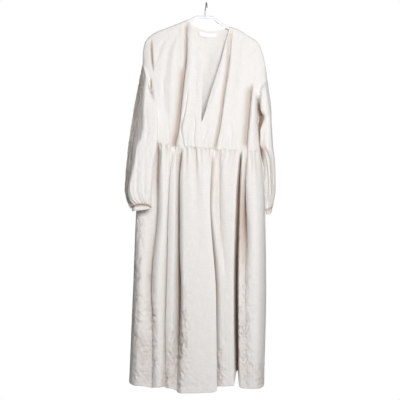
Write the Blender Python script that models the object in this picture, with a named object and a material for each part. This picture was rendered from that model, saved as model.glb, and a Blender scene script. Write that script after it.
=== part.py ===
"""Long wrap dress of cream cotton and linen on a white hanger.

The dress has a crossed V front, dropped shoulders, balloon sleeves with
narrow cuffs, and a long skirt gathered into the waist seam. Each cut piece
is its own thin wall. Units are metres, +Z is up, +X is to the right seen
from the front and -Y is towards the viewer. The origin is the point inside
the hook's crown where the whole thing hangs.

Tables are in millimetres. Their widths and heights are as they read in a
straight front view from VIEW_DISTANCE, so a point that stands nearer than
the hanger is drawn in towards the view's centre by set_back.
"""
import math

import bmesh
import bpy
import numpy as np

MM = 0.001
CLOTH = 1.4
SEAM_GAP = 0.4
VIEW_DISTANCE = 3000.0
VIEW_CENTRE_X = -24.0
VIEW_CENTRE_Z = -729.0

# Outline of the bodice: points (x, z) of its seams and edges
LEFT_SHOULDER = ((-236, -222), (-234, -174), (-225, -141), (-200, -116), (-135, -88), (-68, -61))
RIGHT_SHOULDER = ((224, -274), (219, -237), (209, -192), (191, -148), (150, -118), (113, -96), (87, -88))
BACK_NECK = ((-68, -61), (-58, -75), (-26, -96), (6, -104), (50, -101), (87, -88))
RIGHT_NECK_EDGE = ((-68, -61), (-60, -82), (-35, -144), (-19, -233), (-13, -303), (-16, -370),
                   (-18, -440), (-9, -492), (18, -540))
LEFT_NECK_EDGE = ((87, -88), (81, -108), (50, -222), (13, -340), (-18, -440), (-44, -492), (-61, -530))
LEFT_SIDE = ((-204, -337), (-203, -396), (-198, -511))
RIGHT_SIDE = ((189, -359), (191, -451), (200, -546))
WAIST_FRONT = ((-198, -511), (-165, -519), (-117, -529), (-61, -531), (18, -540), (87, -544), (200, -546))

# Depth of the bodice in front of and behind the side seams, by height
DEPTH_Z = (-560, -480, -400, -320, -240, -160, -60)
DEPTH_FRONT = (46, 50, 50, 46, 38, 28, 20)
DEPTH_BACK = (44, 46, 46, 42, 36, 26, 18)
SHOULDER_ROLL = 6.5
ARMHOLE_DEPTH = 40.0
SIDE_ROUNDING = 0.36

# Folds of the bodice: heights and places of the line, depth, width to its left and right
BODICE_FOLDS = (
    # name, z of points, x of points, depth, left width, right width
    ("neck fold", (-70, -174, -322, -470, -540), (-68, -68, -82, -98, -118), 20.0, 17.0, 7.0),
    ("second fold", (-330, -403, -466, -540), (-66, -79, -90, -82), 7.0, 8.0, 6.0),
    ("left neck fold", (-95, -211, -340, -470, -545), (99, 88, 69, 52, 42), 11.0, 10.0, 15.0),
    ("shoulder end fold", (-125, -185, -248, -330), (-204, -200, -197, -204), 10.0, 7.0, 8.0),
    ("side fold", (-300, -433, -540), (173, 158, 148), 9.0, 14.0, 10.0),
)
UNDER_LAP = 4.6

# Folds of the skirt, from side seam to edge. Columns: x at waist, hip, knee and hem,
# depth y at hip, knee and hem, and the height of the hem there
SKIRT_FRONT_RIGHT = (
    ("side seam", -198, -246, -270, -279, -8, 0, 5, -1399),
    ("left lobe", -189, -226, -242, -250, -26, -58, -66, -1417),
    ("first fold", -179, -181, -207, -198, -14, -34, -54, -1428),
    ("second lobe", -154, -154, -172, -174, -60, -70, -78, -1423),
    ("thin fold", -124, -131, -144, -154, -42, -46, -62, -1419),
    ("third lobe", -109, -115, -124, -131, -62, -72, -80, -1426),
    ("deep fold", -91, -98, -97, -105, -13, -16, -54, -1436),
    ("front lobe left", -72, -74, -72, -68, -82, -97, -104, -1445),
    ("front lobe dip", -43, -35, -31, -31, -76, -94, -104, -1444),
    ("front lobe right", -13, -9, 2, 6, -86, -98, -104, -1442),
    ("front edge", 20, 20, 37, 39, -74, -88, -96, -1434),
)
SKIRT_FRONT_LEFT = (
    ("inner edge", -61, -58, -50, -44, -66, -80, -86, -1432),
    ("behind lobe", -24, -20, -9, -2, -72, -84, -90, -1428),
    ("edge shadow", 18, 17, 46, 54, -38, -62, -72, -1419),
    ("edge lobe", 31, 34, 61, 65, -66, -76, -82, -1419),
    ("short fold", 50, 49, 68, 73, -44, -76, -84, -1418),
    ("middle lobe", 80, 86, 96, 98, -78, -88, -92, -1417),
    ("open fold", 128, 116, 113, 112, 8, 40, 50, -1362),
    ("inner lobe", 139, 134, 130, 125, -28, -48, -68, -1421),
    ("side fold", 150, 150, 151, 155, -10, -44, -72, -1427),
    ("right lobe", 170, 174, 180, 181, -72, -84, -88, -1428),
    ("side seam", 200, 216, 221, 213, -14, 0, 4, -1410),
)
SKIRT_BACK = (
    ("side seam", 200, 216, 221, 213, -14, 0, 4, -1410),
    ("lobe 1", 170, 182, 190, 183, 34, 58, 66, -1376),
    ("fold 1", 146, 156, 158, 151, 26, 30, 42, -1365),
    ("lobe 2", 117, 117, 119, 113, 64, 78, 86, -1358),
    ("fold 2", 80, 76, 74, 69, 42, 44, 48, -1358),
    ("lobe 3", 43, 35, 36, 30, 66, 80, 90, -1358),
    ("fold 3", 4, -1, -5, -10, 44, 46, 48, -1362),
    ("lobe 4", -37, -42, -46, -53, 62, 76, 86, -1365),
    ("fold 4", -76, -77, -84, -92, 42, 42, 48, -1369),
    ("lobe 5", -109, -116, -123, -134, 60, 72, 82, -1373),
    ("fold 5", -141, -152, -165, -178, 34, 36, 44, -1380),
    ("lobe 6", -172, -194, -210, -222, 36, 58, 66, -1388),
    ("side seam", -198, -246, -270, -279, -8, 0, 5, -1399),
)
HIP = 0.22
KNEE = 0.6
GATHER_PITCH = 23.0
GATHER_DEPTH = 2.2
GATHER_LENGTH = 70.0

# Sleeves: height, x of the outer and inner side, middle and half depth in y, and how far
# the section slants back towards -X
LEFT_SLEEVE = (
    (-398, -270, -207, -16, 35, 0.4),
    (-451, -277, -206, -26, 33, 0.45),
    (-533, -289, -205, -42, 30, 0.45),
    (-618, -298, -204, -56, 27, 0.4),
    (-681, -302, -201, -62, 26, 0.3),
    (-728, -292, -201, -62, 24, 0.15),
    (-757, -276, -205, -62, 19, 0.0),
)
RIGHT_SLEEVE = (
    (-420, 241, 198, 14, 34, 0.5),
    (-461, 242, 201, 20, 36, 0.5),
    (-525, 246, 206, 28, 40, 0.45),
    (-599, 253, 213, 38, 43, 0.35),
    (-692, 255, 219, 44, 44, 0.25),
    (-740, 248, 221, 46, 36, 0.1),
    (-764, 243, 219, 46, 27, 0.0),
)
CUFF_HEIGHT = 15.0
CUFF_INSET = 1.5
CUFF_THICK = 2.0
CUFF_TILT = 0.25
SLEEVE_GATHERS = 9
SLEEVE_GATHER_DEPTH = 2.0

# Hanger: a flat white bar with sloping arms, x and z of its top edge
HANGER_TOP = ((-196, -118), (-135, -92.2), (-70, -66.4), (-38, -47), (26, -49), (48, -69), (86, -91.3),
              (135, -113.5), (181, -146))
HANGER_BAR = 9.0
HANGER_HALF_THICK = 2.5
STEM_X = -4.8
STEM_RADIUS = 3.6
STEM_TOP = -29.0
HOOK_WIRE = 1.6
HOOK_RADIUS = 12.0
HOOK_TURN = math.radians(68)

LABEL_DROP = (0.016, 0.052)
LABEL_THICK = 1.0

ARMHOLE_SHARE = 0.37
SHOULDER_SHARE = 0.36
BODICE_ROWS = (0, 0.005, 0.013, 0.03, 0.06, 0.11, 0.17, 0.23, 0.3, 0.37, 0.44, 0.54, 0.66, 0.78, 0.9, 1)
SKIRT_ROWS = (0, 0.02, 0.045, 0.08, 0.13, 0.2, 0.29, 0.39, 0.5, 0.62, 0.75, 0.88, 1)
COLUMNS_PER_FOLD = 4
FRONT_COLUMNS = 12
NECK_COLUMNS = (0.02, 0.06, 0.15, 0.3, 0.4, 0.5, 0.6, 0.7, 0.85, 0.94, 0.98)
NECK_STAND = 30.0
BACK_ROUNDING = 0.17
BODICE_DROP = 440.0
SLEEVE_COLUMNS = 28
SLEEVE_ROWS = (0, 0.03, 0.08, 0.16, 0.28, 0.42, 0.56, 0.7, 0.8, 0.88, 0.94, 1)

CREAM = (0.86, 0.84, 0.79, 1.0)
WHITE = (0.9, 0.9, 0.9, 1.0)
STEEL = (0.25, 0.25, 0.26, 1.0)


def material(name, colour, roughness, metallic=0.0):
    """A Principled material with the piece's own colour."""
    made = bpy.data.materials.new(name)
    made.use_nodes = True
    shader = made.node_tree.nodes["Principled BSDF"]
    shader.inputs["Base Color"].default_value = colour
    shader.inputs["Roughness"].default_value = roughness
    shader.inputs["Metallic"].default_value = metallic
    return made


def add_object(name, points, faces, finish):
    """One named object from points in millimetres and its faces."""
    mesh = bpy.data.meshes.new(name)
    mesh.from_pydata([tuple(float(value) * MM for value in point) for point in points], [], faces)
    mesh.materials.append(material(name + "_finish", *finish))
    mesh.shade_smooth()
    piece = bpy.data.objects.new(name, mesh)
    bpy.context.scene.collection.objects.link(piece)
    return piece


def smooth(value):
    """Ease from 0 to 1."""
    value = min(1.0, max(0.0, value))
    return value * value * (3.0 - 2.0 * value)


def unit(vector):
    """The vector at length 1."""
    vector = np.asarray(vector, float)
    return vector / np.linalg.norm(vector)


def along(points, fraction):
    """Point at a fraction of the length of a smooth curve through the points."""
    points = np.asarray(points, float)
    steps = np.linalg.norm(np.diff(points, axis=0), axis=1)
    marks = np.concatenate(([0.0], np.cumsum(steps))) / steps.sum()
    slopes = np.gradient(points, marks, axis=0)
    cell = int(np.clip(np.searchsorted(marks, fraction, side="right") - 1, 0, len(steps) - 1))
    width = marks[cell + 1] - marks[cell]
    t = (fraction - marks[cell]) / width
    return ((2 * t**3 - 3 * t**2 + 1) * points[cell] + (t**3 - 2 * t**2 + t) * width * slopes[cell]
            + (3 * t**2 - 2 * t**3) * points[cell + 1] + (t**3 - t**2) * width * slopes[cell + 1])


def through(places, values, place):
    """Smooth value at a place, with no overshoot between the given values."""
    places = np.asarray(places, float)
    values = np.asarray(values, float)
    place = min(places[-1], max(places[0], place))
    cell = int(np.clip(np.searchsorted(places, place, side="right") - 1, 0, len(places) - 2))
    widths = np.diff(places)
    rises = np.diff(values) / widths
    slopes = np.zeros(len(places))
    slopes[0] = rises[0]
    slopes[-1] = rises[-1]
    for index in range(1, len(places) - 1):
        if rises[index - 1] * rises[index] > 0:
            slopes[index] = 2 * rises[index - 1] * rises[index] / (rises[index - 1] + rises[index])
    t = (place - places[cell]) / widths[cell]
    return float((2 * t**3 - 3 * t**2 + 1) * values[cell] + (t**3 - 2 * t**2 + t) * widths[cell] * slopes[cell]
                 + (3 * t**2 - 2 * t**3) * values[cell + 1] + (t**3 - t**2) * widths[cell] * slopes[cell + 1])


def set_back(points):
    """Real places of points read in the front view: what stands nearer is drawn in."""
    points = np.array(points, float)
    scale = 1.0 + points[:, 1] / VIEW_DISTANCE
    points[:, 0] = VIEW_CENTRE_X + (points[:, 0] - VIEW_CENTRE_X) * scale
    points[:, 2] = VIEW_CENTRE_Z + (points[:, 2] - VIEW_CENTRE_Z) * scale
    return points


def grid_normals(grid, closed=False):
    """Outward normals of a grid: columns run anticlockwise seen from above, rows run down."""
    if closed:
        wide = np.concatenate((grid[:, -1:], grid, grid[:, :1]), axis=1)
        across = wide[:, 2:] - wide[:, :-2]
    else:
        across = np.gradient(grid, axis=1)
    normals = np.cross(np.gradient(grid, axis=0), across)
    return normals / np.linalg.norm(normals, axis=2, keepdims=True)


def shell(name, outer, normals, closed=False, thick=CLOTH, seam=None, finish=(CREAM, 0.85)):
    """A closed wall from a grid of outer points, its thickness laid to the inside."""
    inner = outer - normals * thick
    if seam is not None:
        seam(outer)
        seam(inner)
    count_v, count_u = outer.shape[:2]
    shift = count_v * count_u
    spans = count_u if closed else count_u - 1
    faces = []
    for row in range(count_v - 1):
        for column in range(spans):
            a = row * count_u + column
            b = row * count_u + (column + 1) % count_u
            c, d = a + count_u, b + count_u
            faces += [(a, c, b), (b, c, d), (a + shift, b + shift, c + shift), (b + shift, d + shift, c + shift)]
    bottom = (count_v - 1) * count_u
    for column in range(spans):
        after = (column + 1) % count_u
        faces += [(column, after, column + shift), (after, after + shift, column + shift)]
        a, b = bottom + column, bottom + after
        faces += [(a, a + shift, b), (b, a + shift, b + shift)]
    if not closed:
        for row in range(count_v - 1):
            a, b = row * count_u, (row + 1) * count_u
            faces += [(a, a + shift, b), (b, a + shift, b + shift)]
            a, b = a + count_u - 1, b + count_u - 1
            faces += [(a, b, a + shift), (b, b + shift, a + shift)]
    points = np.concatenate((outer.reshape(-1, 3), inner.reshape(-1, 3)))
    return add_object(name, set_back(points), faces, finish)


def waist_height(x, behind):
    """Height of the waist seam in front of or behind the side seams."""
    xs = [point[0] for point in WAIST_FRONT]
    zs = [point[1] for point in WAIST_FRONT]
    if behind:
        return float(np.interp(x, (xs[0], xs[-1]), (zs[0], zs[-1])))
    return through(xs, zs, x)


def waist_seam(behind, row, lift):
    """Lays one row of a grid on the waist seam."""
    def lay(grid):
        for point in grid[row]:
            point[2] = waist_height(point[0], behind) + lift
    return lay


def fold_push(x, z):
    """How far the bodice's folds push its front back towards the body."""
    push = 0.0
    for _, heights, places, depth, left_width, right_width in BODICE_FOLDS:
        line = float(np.interp(z, heights[::-1], places[::-1]))
        width = left_width if x < line else right_width
        fade = smooth((heights[0] - z) / 40.0 + 0.35) * smooth((z - heights[-1]) / 40.0 + 0.6)
        push += depth * fade * math.exp(-(((x - line) / width) ** 2))
    return push


def body_depth(x, z, drop, edge_depth, inward, behind):
    """Depth of the bodice: rolled over the hanger at the shoulder, rounded at the side."""
    full = through(DEPTH_Z, DEPTH_BACK if behind else DEPTH_FRONT, z)
    rolled = SHOULDER_ROLL * math.sqrt(max(0.0, 1 - (1 - min(1.0, drop / SHOULDER_ROLL)) ** 2))
    inner = rolled + (full - SHOULDER_ROLL) * (1.0 - math.exp(-max(0.0, drop - 2.0) / 70.0))
    turn = math.sqrt(max(0.0, 1 - (1 - min(1.0, inward / SIDE_ROUNDING)) ** 2))
    if not behind:
        inner = max(SHOULDER_ROLL * smooth(drop / SHOULDER_ROLL), inner - fold_push(x, z) * smooth(drop / 40.0))
    return edge_depth + (inner - edge_depth) * turn


def armhole_point(shoulder, side, share):
    """Point (x, z) on the armhole, which is straight in the front view."""
    return np.array(shoulder[0], float) * (1 - share) + np.array(side[0], float) * share


def outer_edge(shoulder, side, v):
    """Point (x, z) on a panel's outer edge: the armhole, then the side seam."""
    if v <= ARMHOLE_SHARE:
        return armhole_point(shoulder, side, v / ARMHOLE_SHARE)
    return along(side, (v - ARMHOLE_SHARE) / (1 - ARMHOLE_SHARE))


def armhole_depth(share):
    """How far the oval armhole stands off the side at a share of its height."""
    return ARMHOLE_DEPTH * math.sin(math.pi * min(1.0, max(0.0, share))) ** 0.8


def armhole_run(shoulder, side):
    """Direction down the armhole in the front view."""
    return unit((side[0][0] - shoulder[0][0], 0.0, side[0][1] - shoulder[0][1]))


def armhole_normal(shoulder, side, share, behind):
    """Normal of the oval armhole within its own plane."""
    turn = math.pi * share
    sign = 1.0 if behind else -1.0
    return unit(-armhole_run(shoulder, side) * math.cos(turn) + np.array((0.0, sign * math.sin(turn), 0.0)))


def set_edges(normals, edge, shoulder, side, behind):
    """Gives a panel's outer edge normals that keep its seams flat."""
    outward = -1.0 if shoulder[0][0] < 0 else 1.0
    for row, v in enumerate(BODICE_ROWS):
        if v <= ARMHOLE_SHARE:
            normals[row][edge] = armhole_normal(shoulder, side, v / ARMHOLE_SHARE, behind)
        else:
            normals[row][edge] = (outward, 0.0, 0.0)


def set_shoulder(normals, grid, columns):
    """Gives the shoulder seam normals that stand straight up from it."""
    for column in columns:
        before = grid[0][max(0, column - 1)]
        after = grid[0][min(grid.shape[1] - 1, column + 1)]
        run = after - before
        up = unit((-run[2], 0.0, run[0]))
        normals[0][column] = up if up[2] >= 0 else -up


def blend_edges(top, bottom, first, last, u, v):
    """Point (x, z) inside four edges given as functions."""
    corners = ((1 - u) * (1 - v) * top(0) + u * (1 - v) * top(1) + (1 - u) * v * bottom(0) + u * v * bottom(1))
    return (1 - v) * top(u) + v * bottom(u) + (1 - u) * first(v) + u * last(v) - corners


def front_panel(shoulder, side, neck_edge, lap):
    """Grid of a front, from its outer edge to its neckline edge."""
    waist_start, waist_end = side[-1][0], neck_edge[-1][0]

    def waist(u):
        x = waist_start + (waist_end - waist_start) * u
        return np.array((x, waist_height(x, False)))

    turned = [SIDE_ROUNDING * (1 - math.cos(step * math.pi / 12)) for step in range(7)]
    flat = [SIDE_ROUNDING + (1 - SIDE_ROUNDING) * step / FRONT_COLUMNS for step in range(1, FRONT_COLUMNS + 1)]
    grid = []
    for v in BODICE_ROWS:
        row = []
        for u in turned + flat:
            x, z = blend_edges(lambda s: along(shoulder, s), waist, lambda s: outer_edge(shoulder, side, s),
                               lambda s: along(neck_edge, s), u, v)
            depth = body_depth(x, z, v * BODICE_DROP, armhole_depth(v / ARMHOLE_SHARE), u, False)
            lift = UNDER_LAP * smooth((x + 110.0) / 50.0) * smooth(v * 8) if lap else 0.0
            row.append((x, -(depth + lift) - SEAM_GAP / 2, z))
        grid.append(row)
    return np.array(grid)


def back_panel():
    """Grid of the back, from the right armhole to the left one."""
    neck = tuple(reversed(BACK_NECK))

    def top(u):
        if u < SHOULDER_SHARE:
            return along(RIGHT_SHOULDER, u / SHOULDER_SHARE)
        if u > 1 - SHOULDER_SHARE:
            return along(LEFT_SHOULDER, (1 - u) / SHOULDER_SHARE)
        return along(neck, (u - SHOULDER_SHARE) / (1 - 2 * SHOULDER_SHARE))

    def waist(u):
        x = RIGHT_SIDE[-1][0] * (1 - u) + LEFT_SIDE[-1][0] * u
        return np.array((x, waist_height(x, True)))

    turned = [BACK_ROUNDING * (1 - math.cos(step * math.pi / 12)) for step in range(7)]
    shoulders = [BACK_ROUNDING + (SHOULDER_SHARE - BACK_ROUNDING) * step / 5 for step in range(1, 6)]
    half = turned + shoulders
    neck_columns = [SHOULDER_SHARE + (1 - 2 * SHOULDER_SHARE) * part for part in NECK_COLUMNS]
    columns = half + neck_columns + [1 - u for u in reversed(half)]
    grid = []
    for v in BODICE_ROWS:
        row = []
        for u in columns:
            x, z = blend_edges(top, waist, lambda s: outer_edge(RIGHT_SHOULDER, RIGHT_SIDE, s),
                               lambda s: outer_edge(LEFT_SHOULDER, LEFT_SIDE, s), u, v)
            in_neck = max(0.0, 1.0 - abs(u - 0.5) / (0.5 - SHOULDER_SHARE))
            drop = v * BODICE_DROP + NECK_STAND * (1 - (1 - min(1.0, in_neck * 5)) ** 2)
            inward = min(u, 1 - u) / BACK_ROUNDING * SIDE_ROUNDING
            depth = body_depth(x, z, drop, armhole_depth(v / ARMHOLE_SHARE), inward, True)
            row.append((x, depth + SEAM_GAP / 2, z))
        grid.append(row)
    return np.array(grid), len(half)


def build_bodice():
    """Two crossed fronts and the back; returns the line of each at the waist."""
    right = front_panel(LEFT_SHOULDER, LEFT_SIDE, RIGHT_NECK_EDGE, True)
    normals = grid_normals(right)
    set_shoulder(normals, right, range(right.shape[1]))
    set_edges(normals, 0, LEFT_SHOULDER, LEFT_SIDE, False)
    shell("bodice_front_right", right, normals, seam=waist_seam(False, -1, SEAM_GAP / 2))

    left = front_panel(RIGHT_SHOULDER, RIGHT_SIDE, LEFT_NECK_EDGE, False)[:, ::-1].copy()
    normals = grid_normals(left)
    set_shoulder(normals, left, range(left.shape[1]))
    set_edges(normals, -1, RIGHT_SHOULDER, RIGHT_SIDE, False)
    shell("bodice_front_left", left, normals, seam=waist_seam(False, -1, SEAM_GAP / 2))

    back, half = back_panel()
    normals = grid_normals(back)
    set_shoulder(normals, back, list(range(half)) + list(range(back.shape[1] - half, back.shape[1])))
    set_edges(normals, 0, RIGHT_SHOULDER, RIGHT_SIDE, True)
    set_edges(normals, -1, LEFT_SHOULDER, LEFT_SIDE, True)
    shell("bodice_back", back, normals, seam=waist_seam(True, -1, SEAM_GAP / 2))
    build_label(back, normals)
    return right[-1], left[-1], back[-1]


def build_label(back, normals):
    """Blank woven label inside the back neck, made from the back's own points moved in."""
    middle = back.shape[1] // 2
    columns = range(middle - 2, middle + 3)
    rows = []
    facing = []
    for share in (0.0, 0.5, 1.0):
        drop = LABEL_DROP[0] * (1 - share) + LABEL_DROP[1] * share
        row = []
        for column in columns:
            place = [float(np.interp(drop, BODICE_ROWS, back[:, column, axis])) for axis in range(3)]
            row.append(np.array(place) - normals[5][column] * (CLOTH + SEAM_GAP))
        rows.append(row[::-1])
        facing.append([-normals[5][column] for column in reversed(columns)])
    front = np.array(rows) + np.array(facing) * LABEL_THICK
    shell("neck_label", front, np.array(facing), thick=LABEL_THICK, finish=(WHITE, 0.6))


def steepness(run, rise):
    """How upright the walls between a lobe and a fold stand."""
    ratio = abs(rise) / (abs(run) + 1e-6)
    return 1.25 * ratio / (ratio + 1.0)


def skirt_section(table, line, v, ends):
    """One row of a skirt panel: lobes and folds joined by rolled walls."""
    places = (0.0, HIP, KNEE, 1.0)
    order = np.argsort(line[:, 0])
    knots = []
    for _, waist_x, hip_x, knee_x, hem_x, hip_y, knee_y, hem_y, hem_z in table:
        waist_y = float(np.interp(waist_x, line[order, 0], line[order, 1]))
        x = through(places, (waist_x, hip_x, knee_x, hem_x), v)
        y = through(places, (waist_y, hip_y, knee_y, hem_y), v)
        knots.append((x, y, hem_z))
    row = []
    last = len(knots) - 2
    for index in range(last + 1):
        (xa, ya, za), (xb, yb, zb) = knots[index], knots[index + 1]
        steps = COLUMNS_PER_FOLD + (1 if index == last else 0)
        for step in range(steps):
            t = step / COLUMNS_PER_FOLD
            if index == 0 and ends[0] == "seam":
                across, deep = 1 - math.cos(t * math.pi / 2), math.sin(t * math.pi / 2)
            elif index == last and ends[1] == "seam":
                across, deep = math.sin(t * math.pi / 2), 1 - math.cos(t * math.pi / 2)
            elif index == last:
                across, deep = t, 1 - math.cos(t * math.pi / 2)
            else:
                across = t + steepness(xb - xa, yb - ya) * math.sin(2 * math.pi * t) / (2 * math.pi)
                deep = (1 - math.cos(math.pi * t)) / 2
            row.append((xa + (xb - xa) * across, ya + (yb - ya) * deep, za + (zb - za) * deep))
    return row


def skirt_panel(name, table, line, ends, behind):
    """One panel of the skirt, gathered into the waist seam below its bodice piece."""
    order = np.argsort(line[:, 0])
    grid = []
    for v in SKIRT_ROWS:
        row = []
        for x, y, hem in skirt_section(table, line, v, ends):
            held = float(np.interp(x, line[order, 0], line[order, 1]))
            y += (held - y) * (1 - smooth(v / 0.07))
            top = waist_height(x, behind)
            drop = v * (top - hem)
            edge = smooth(min(abs(x - line[:, 0].min()), abs(x - line[:, 0].max())) / 25.0)
            y += GATHER_DEPTH * edge * math.exp(-drop / GATHER_LENGTH) * math.sin(2 * math.pi * x / GATHER_PITCH)
            row.append((x, y, top - drop))
        grid.append(row)
    grid = np.array(grid)
    normals = grid_normals(grid)
    normals[0, :, 2] = 0.0
    normals[0] /= np.linalg.norm(normals[0], axis=1, keepdims=True)
    for edge, kind in zip((0, -1), ends):
        if kind == "seam":
            outward = -1.0 if grid[-1][edge][0] < 0 else 1.0
            normals[:, edge] = (outward, 0.0, 0.0)
            grid[:, edge, 1] += SEAM_GAP / 2 * (1 if behind else -1)
    normals[-1, :, 2] = 0.0
    normals[-1] /= np.linalg.norm(normals[-1], axis=1, keepdims=True)
    shell(name, grid, normals, seam=waist_seam(behind, 0, -SEAM_GAP / 2))


def sleeve_ring(shoulder, side, angle):
    """Point of the sleeve's top edge on the armhole, and its normal there."""
    share = angle / math.pi if angle <= math.pi else 2 - angle / math.pi
    if shoulder[0][0] > 0:
        share = 1 - share
    behind = angle > math.pi
    x, z = armhole_point(shoulder, side, share)
    y = armhole_depth(share) * (1 if behind else -1)
    run = armhole_run(shoulder, side)
    out = unit((-abs(run[2]) if shoulder[0][0] < 0 else abs(run[2]), 0.0, -abs(run[0])))
    return np.array((x, y, z)) + out * SEAM_GAP, armhole_normal(shoulder, side, share, behind)


def build_sleeve(side_name, shoulder, side, table, tilt):
    """A balloon sleeve from the armhole to its gathered end, and the narrow cuff below it."""
    count = SLEEVE_COLUMNS
    angles = [2 * math.pi * step / count for step in range(count)]
    rings = [sleeve_ring(shoulder, side, angle) for angle in angles]
    sections = [[ring[0] for ring in rings]]
    for index, (z, xa, xb, middle, half, slant) in enumerate(table):
        low, high = min(xa, xb), max(xa, xb)
        share = index / (len(table) - 1)
        lean = tilt * smooth((share - 0.55) / 0.45)
        row = []
        for angle in angles:
            x = (low + high) / 2 - (high - low) / 2 * math.cos(angle)
            y = middle - half * math.sin(angle) - slant * (x - (low + high) / 2)
            row.append(np.array((x, y, z - (y - middle) * lean)))
        sections.append(row)
    sections = np.array(sections)
    marks = np.concatenate(([0.0], np.cumsum(np.linalg.norm(np.diff(sections.mean(axis=1), axis=0), axis=1))))
    grid = []
    for share in SLEEVE_ROWS:
        place = marks[-1] * share
        row = []
        for column in range(count):
            point = np.array([through(marks, sections[:, column, axis], place) for axis in range(3)])
            centre = np.array([through(marks, sections[:, :, axis].mean(axis=1), place) for axis in range(2)])
            wave = math.cos(SLEEVE_GATHERS * angles[column]) * SLEEVE_GATHER_DEPTH * smooth((share - 0.8) / 0.2)
            reach = point[:2] - centre
            point[:2] += reach / np.linalg.norm(reach) * wave
            row.append(point)
        grid.append(row)
    grid = np.array(grid)
    normals = grid_normals(grid, closed=True)
    for column, ring in enumerate(rings):
        normals[0][column] = ring[1]
    normals[-1, :, 2] = 0.0
    normals[-1] /= np.linalg.norm(normals[-1], axis=1, keepdims=True)
    shell("sleeve_" + side_name, grid, normals, closed=True)

    end = sections[-1]
    centre = end.mean(axis=0)
    flat = (end - centre) * (1, 1, 0)
    inset = end - flat / np.linalg.norm(flat, axis=1, keepdims=True) * CUFF_INSET
    cuff = np.array([inset - (0, 0, SEAM_GAP + CUFF_HEIGHT * part) for part in (0, 0.5, 1)])
    normals = grid_normals(cuff, closed=True)
    normals[:, :, 2] = 0.0
    normals /= np.linalg.norm(normals, axis=2, keepdims=True)
    shell("cuff_" + side_name, cuff, normals, closed=True, thick=CUFF_THICK)


def build_hanger():
    """Flat hanger: a straight bar and two sloping arms, with a short stem."""
    top = np.array([(x, z) for x, z in HANGER_TOP], float)
    slopes = np.gradient(top, axis=0)
    slopes /= np.linalg.norm(slopes, axis=1, keepdims=True)
    lower = top + np.stack((slopes[:, 1], -slopes[:, 0]), axis=1) * HANGER_BAR
    outline = list(top) + list(lower[::-1])
    count = len(outline)
    points = [(x, -HANGER_HALF_THICK, z) for x, z in outline] + [(x, HANGER_HALF_THICK, z) for x, z in outline]
    faces = []
    for index in range(len(top) - 1):
        a, b, c, d = index, index + 1, count - 2 - index, count - 1 - index
        faces += [(a, d, c, b), (a + count, b + count, c + count, d + count)]
    for index in range(count):
        after = (index + 1) % count
        faces.append((index, after, after + count, index + count))
    hanger = add_object("hanger", points, faces, (WHITE, 0.35))

    stem = bpy.data.meshes.new("stem")
    shape = bmesh.new()
    low = HANGER_TOP[3][1] - 3.0
    bmesh.ops.create_cone(shape, cap_ends=True, segments=16, radius1=STEM_RADIUS * MM * 0.8,
                          radius2=STEM_RADIUS * MM * 0.75, depth=(STEM_TOP - low) * MM)
    bmesh.ops.translate(shape, verts=shape.verts, vec=(STEM_X * MM, 0, (STEM_TOP + low) / 2 * MM))
    shape.to_mesh(stem)
    shape.free()
    stem_shape = bpy.data.objects.new("stem_shape", stem)
    stem_shape.hide_render = True
    stem_shape.display_type = "WIRE"
    bpy.context.scene.collection.objects.link(stem_shape)
    joined = hanger.modifiers.new("stem", "BOOLEAN")
    joined.operation = "UNION"
    joined.object = stem_shape


def build_hook():
    """Steel wire hook: up from the stem, over the crown and down to its tip."""
    side = np.array((math.cos(HOOK_TURN), math.sin(HOOK_TURN), 0.0))
    crown_z = HOOK_WIRE
    centre_z = crown_z - HOOK_RADIUS
    foot = np.array((STEM_X, 0.0, STEM_TOP + SEAM_GAP))
    start = np.array((0.0, 0.0, centre_z)) - side * HOOK_RADIUS
    path = [foot, foot + (0, 0, 2.0), foot * 0.45 + start * 0.55 + (0, 0, 1.0), start - (0, 0, 2.0)]
    for step in range(13):
        turn = math.pi * step / 12
        path.append(np.array((0.0, 0.0, centre_z + HOOK_RADIUS * math.sin(turn))) - side * HOOK_RADIUS * math.cos(turn))
    path.append(path[-1] - (0, 0, 5.0))
    curve = bpy.data.curves.new("hook", "CURVE")
    curve.dimensions = "3D"
    curve.bevel_depth = HOOK_WIRE * MM
    curve.bevel_resolution = 2
    curve.use_fill_caps = True
    spline = curve.splines.new("POLY")
    spline.points.add(len(path) - 1)
    for point, place in zip(spline.points, path):
        point.co = (place[0] * MM, place[1] * MM, place[2] * MM, 1.0)
    hook = bpy.data.objects.new("hook", curve)
    curve.materials.append(material("hook_finish", STEEL, 0.3, 1.0))
    bpy.context.scene.collection.objects.link(hook)


for leftover in list(bpy.data.objects):
    bpy.data.objects.remove(leftover, do_unlink=True)

waist_right, waist_left, waist_back = build_bodice()
skirt_panel("skirt_front_right", SKIRT_FRONT_RIGHT, waist_right, ("seam", "edge"), False)
skirt_panel("skirt_front_left", SKIRT_FRONT_LEFT, waist_left, ("edge", "seam"), False)
skirt_panel("skirt_back", SKIRT_BACK, waist_back, ("seam", "seam"), True)
build_sleeve("right", LEFT_SHOULDER, LEFT_SIDE, LEFT_SLEEVE, CUFF_TILT)
build_sleeve("left", RIGHT_SHOULDER, RIGHT_SIDE, RIGHT_SLEEVE, 0.0)
build_hanger()
build_hook()
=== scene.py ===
"""Looks of the long wrap dress on its hanger: the sewn cloth, the stitches, the hanger and a plain studio."""
import math

import bpy
import numpy as np
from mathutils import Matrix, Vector, noise


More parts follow.
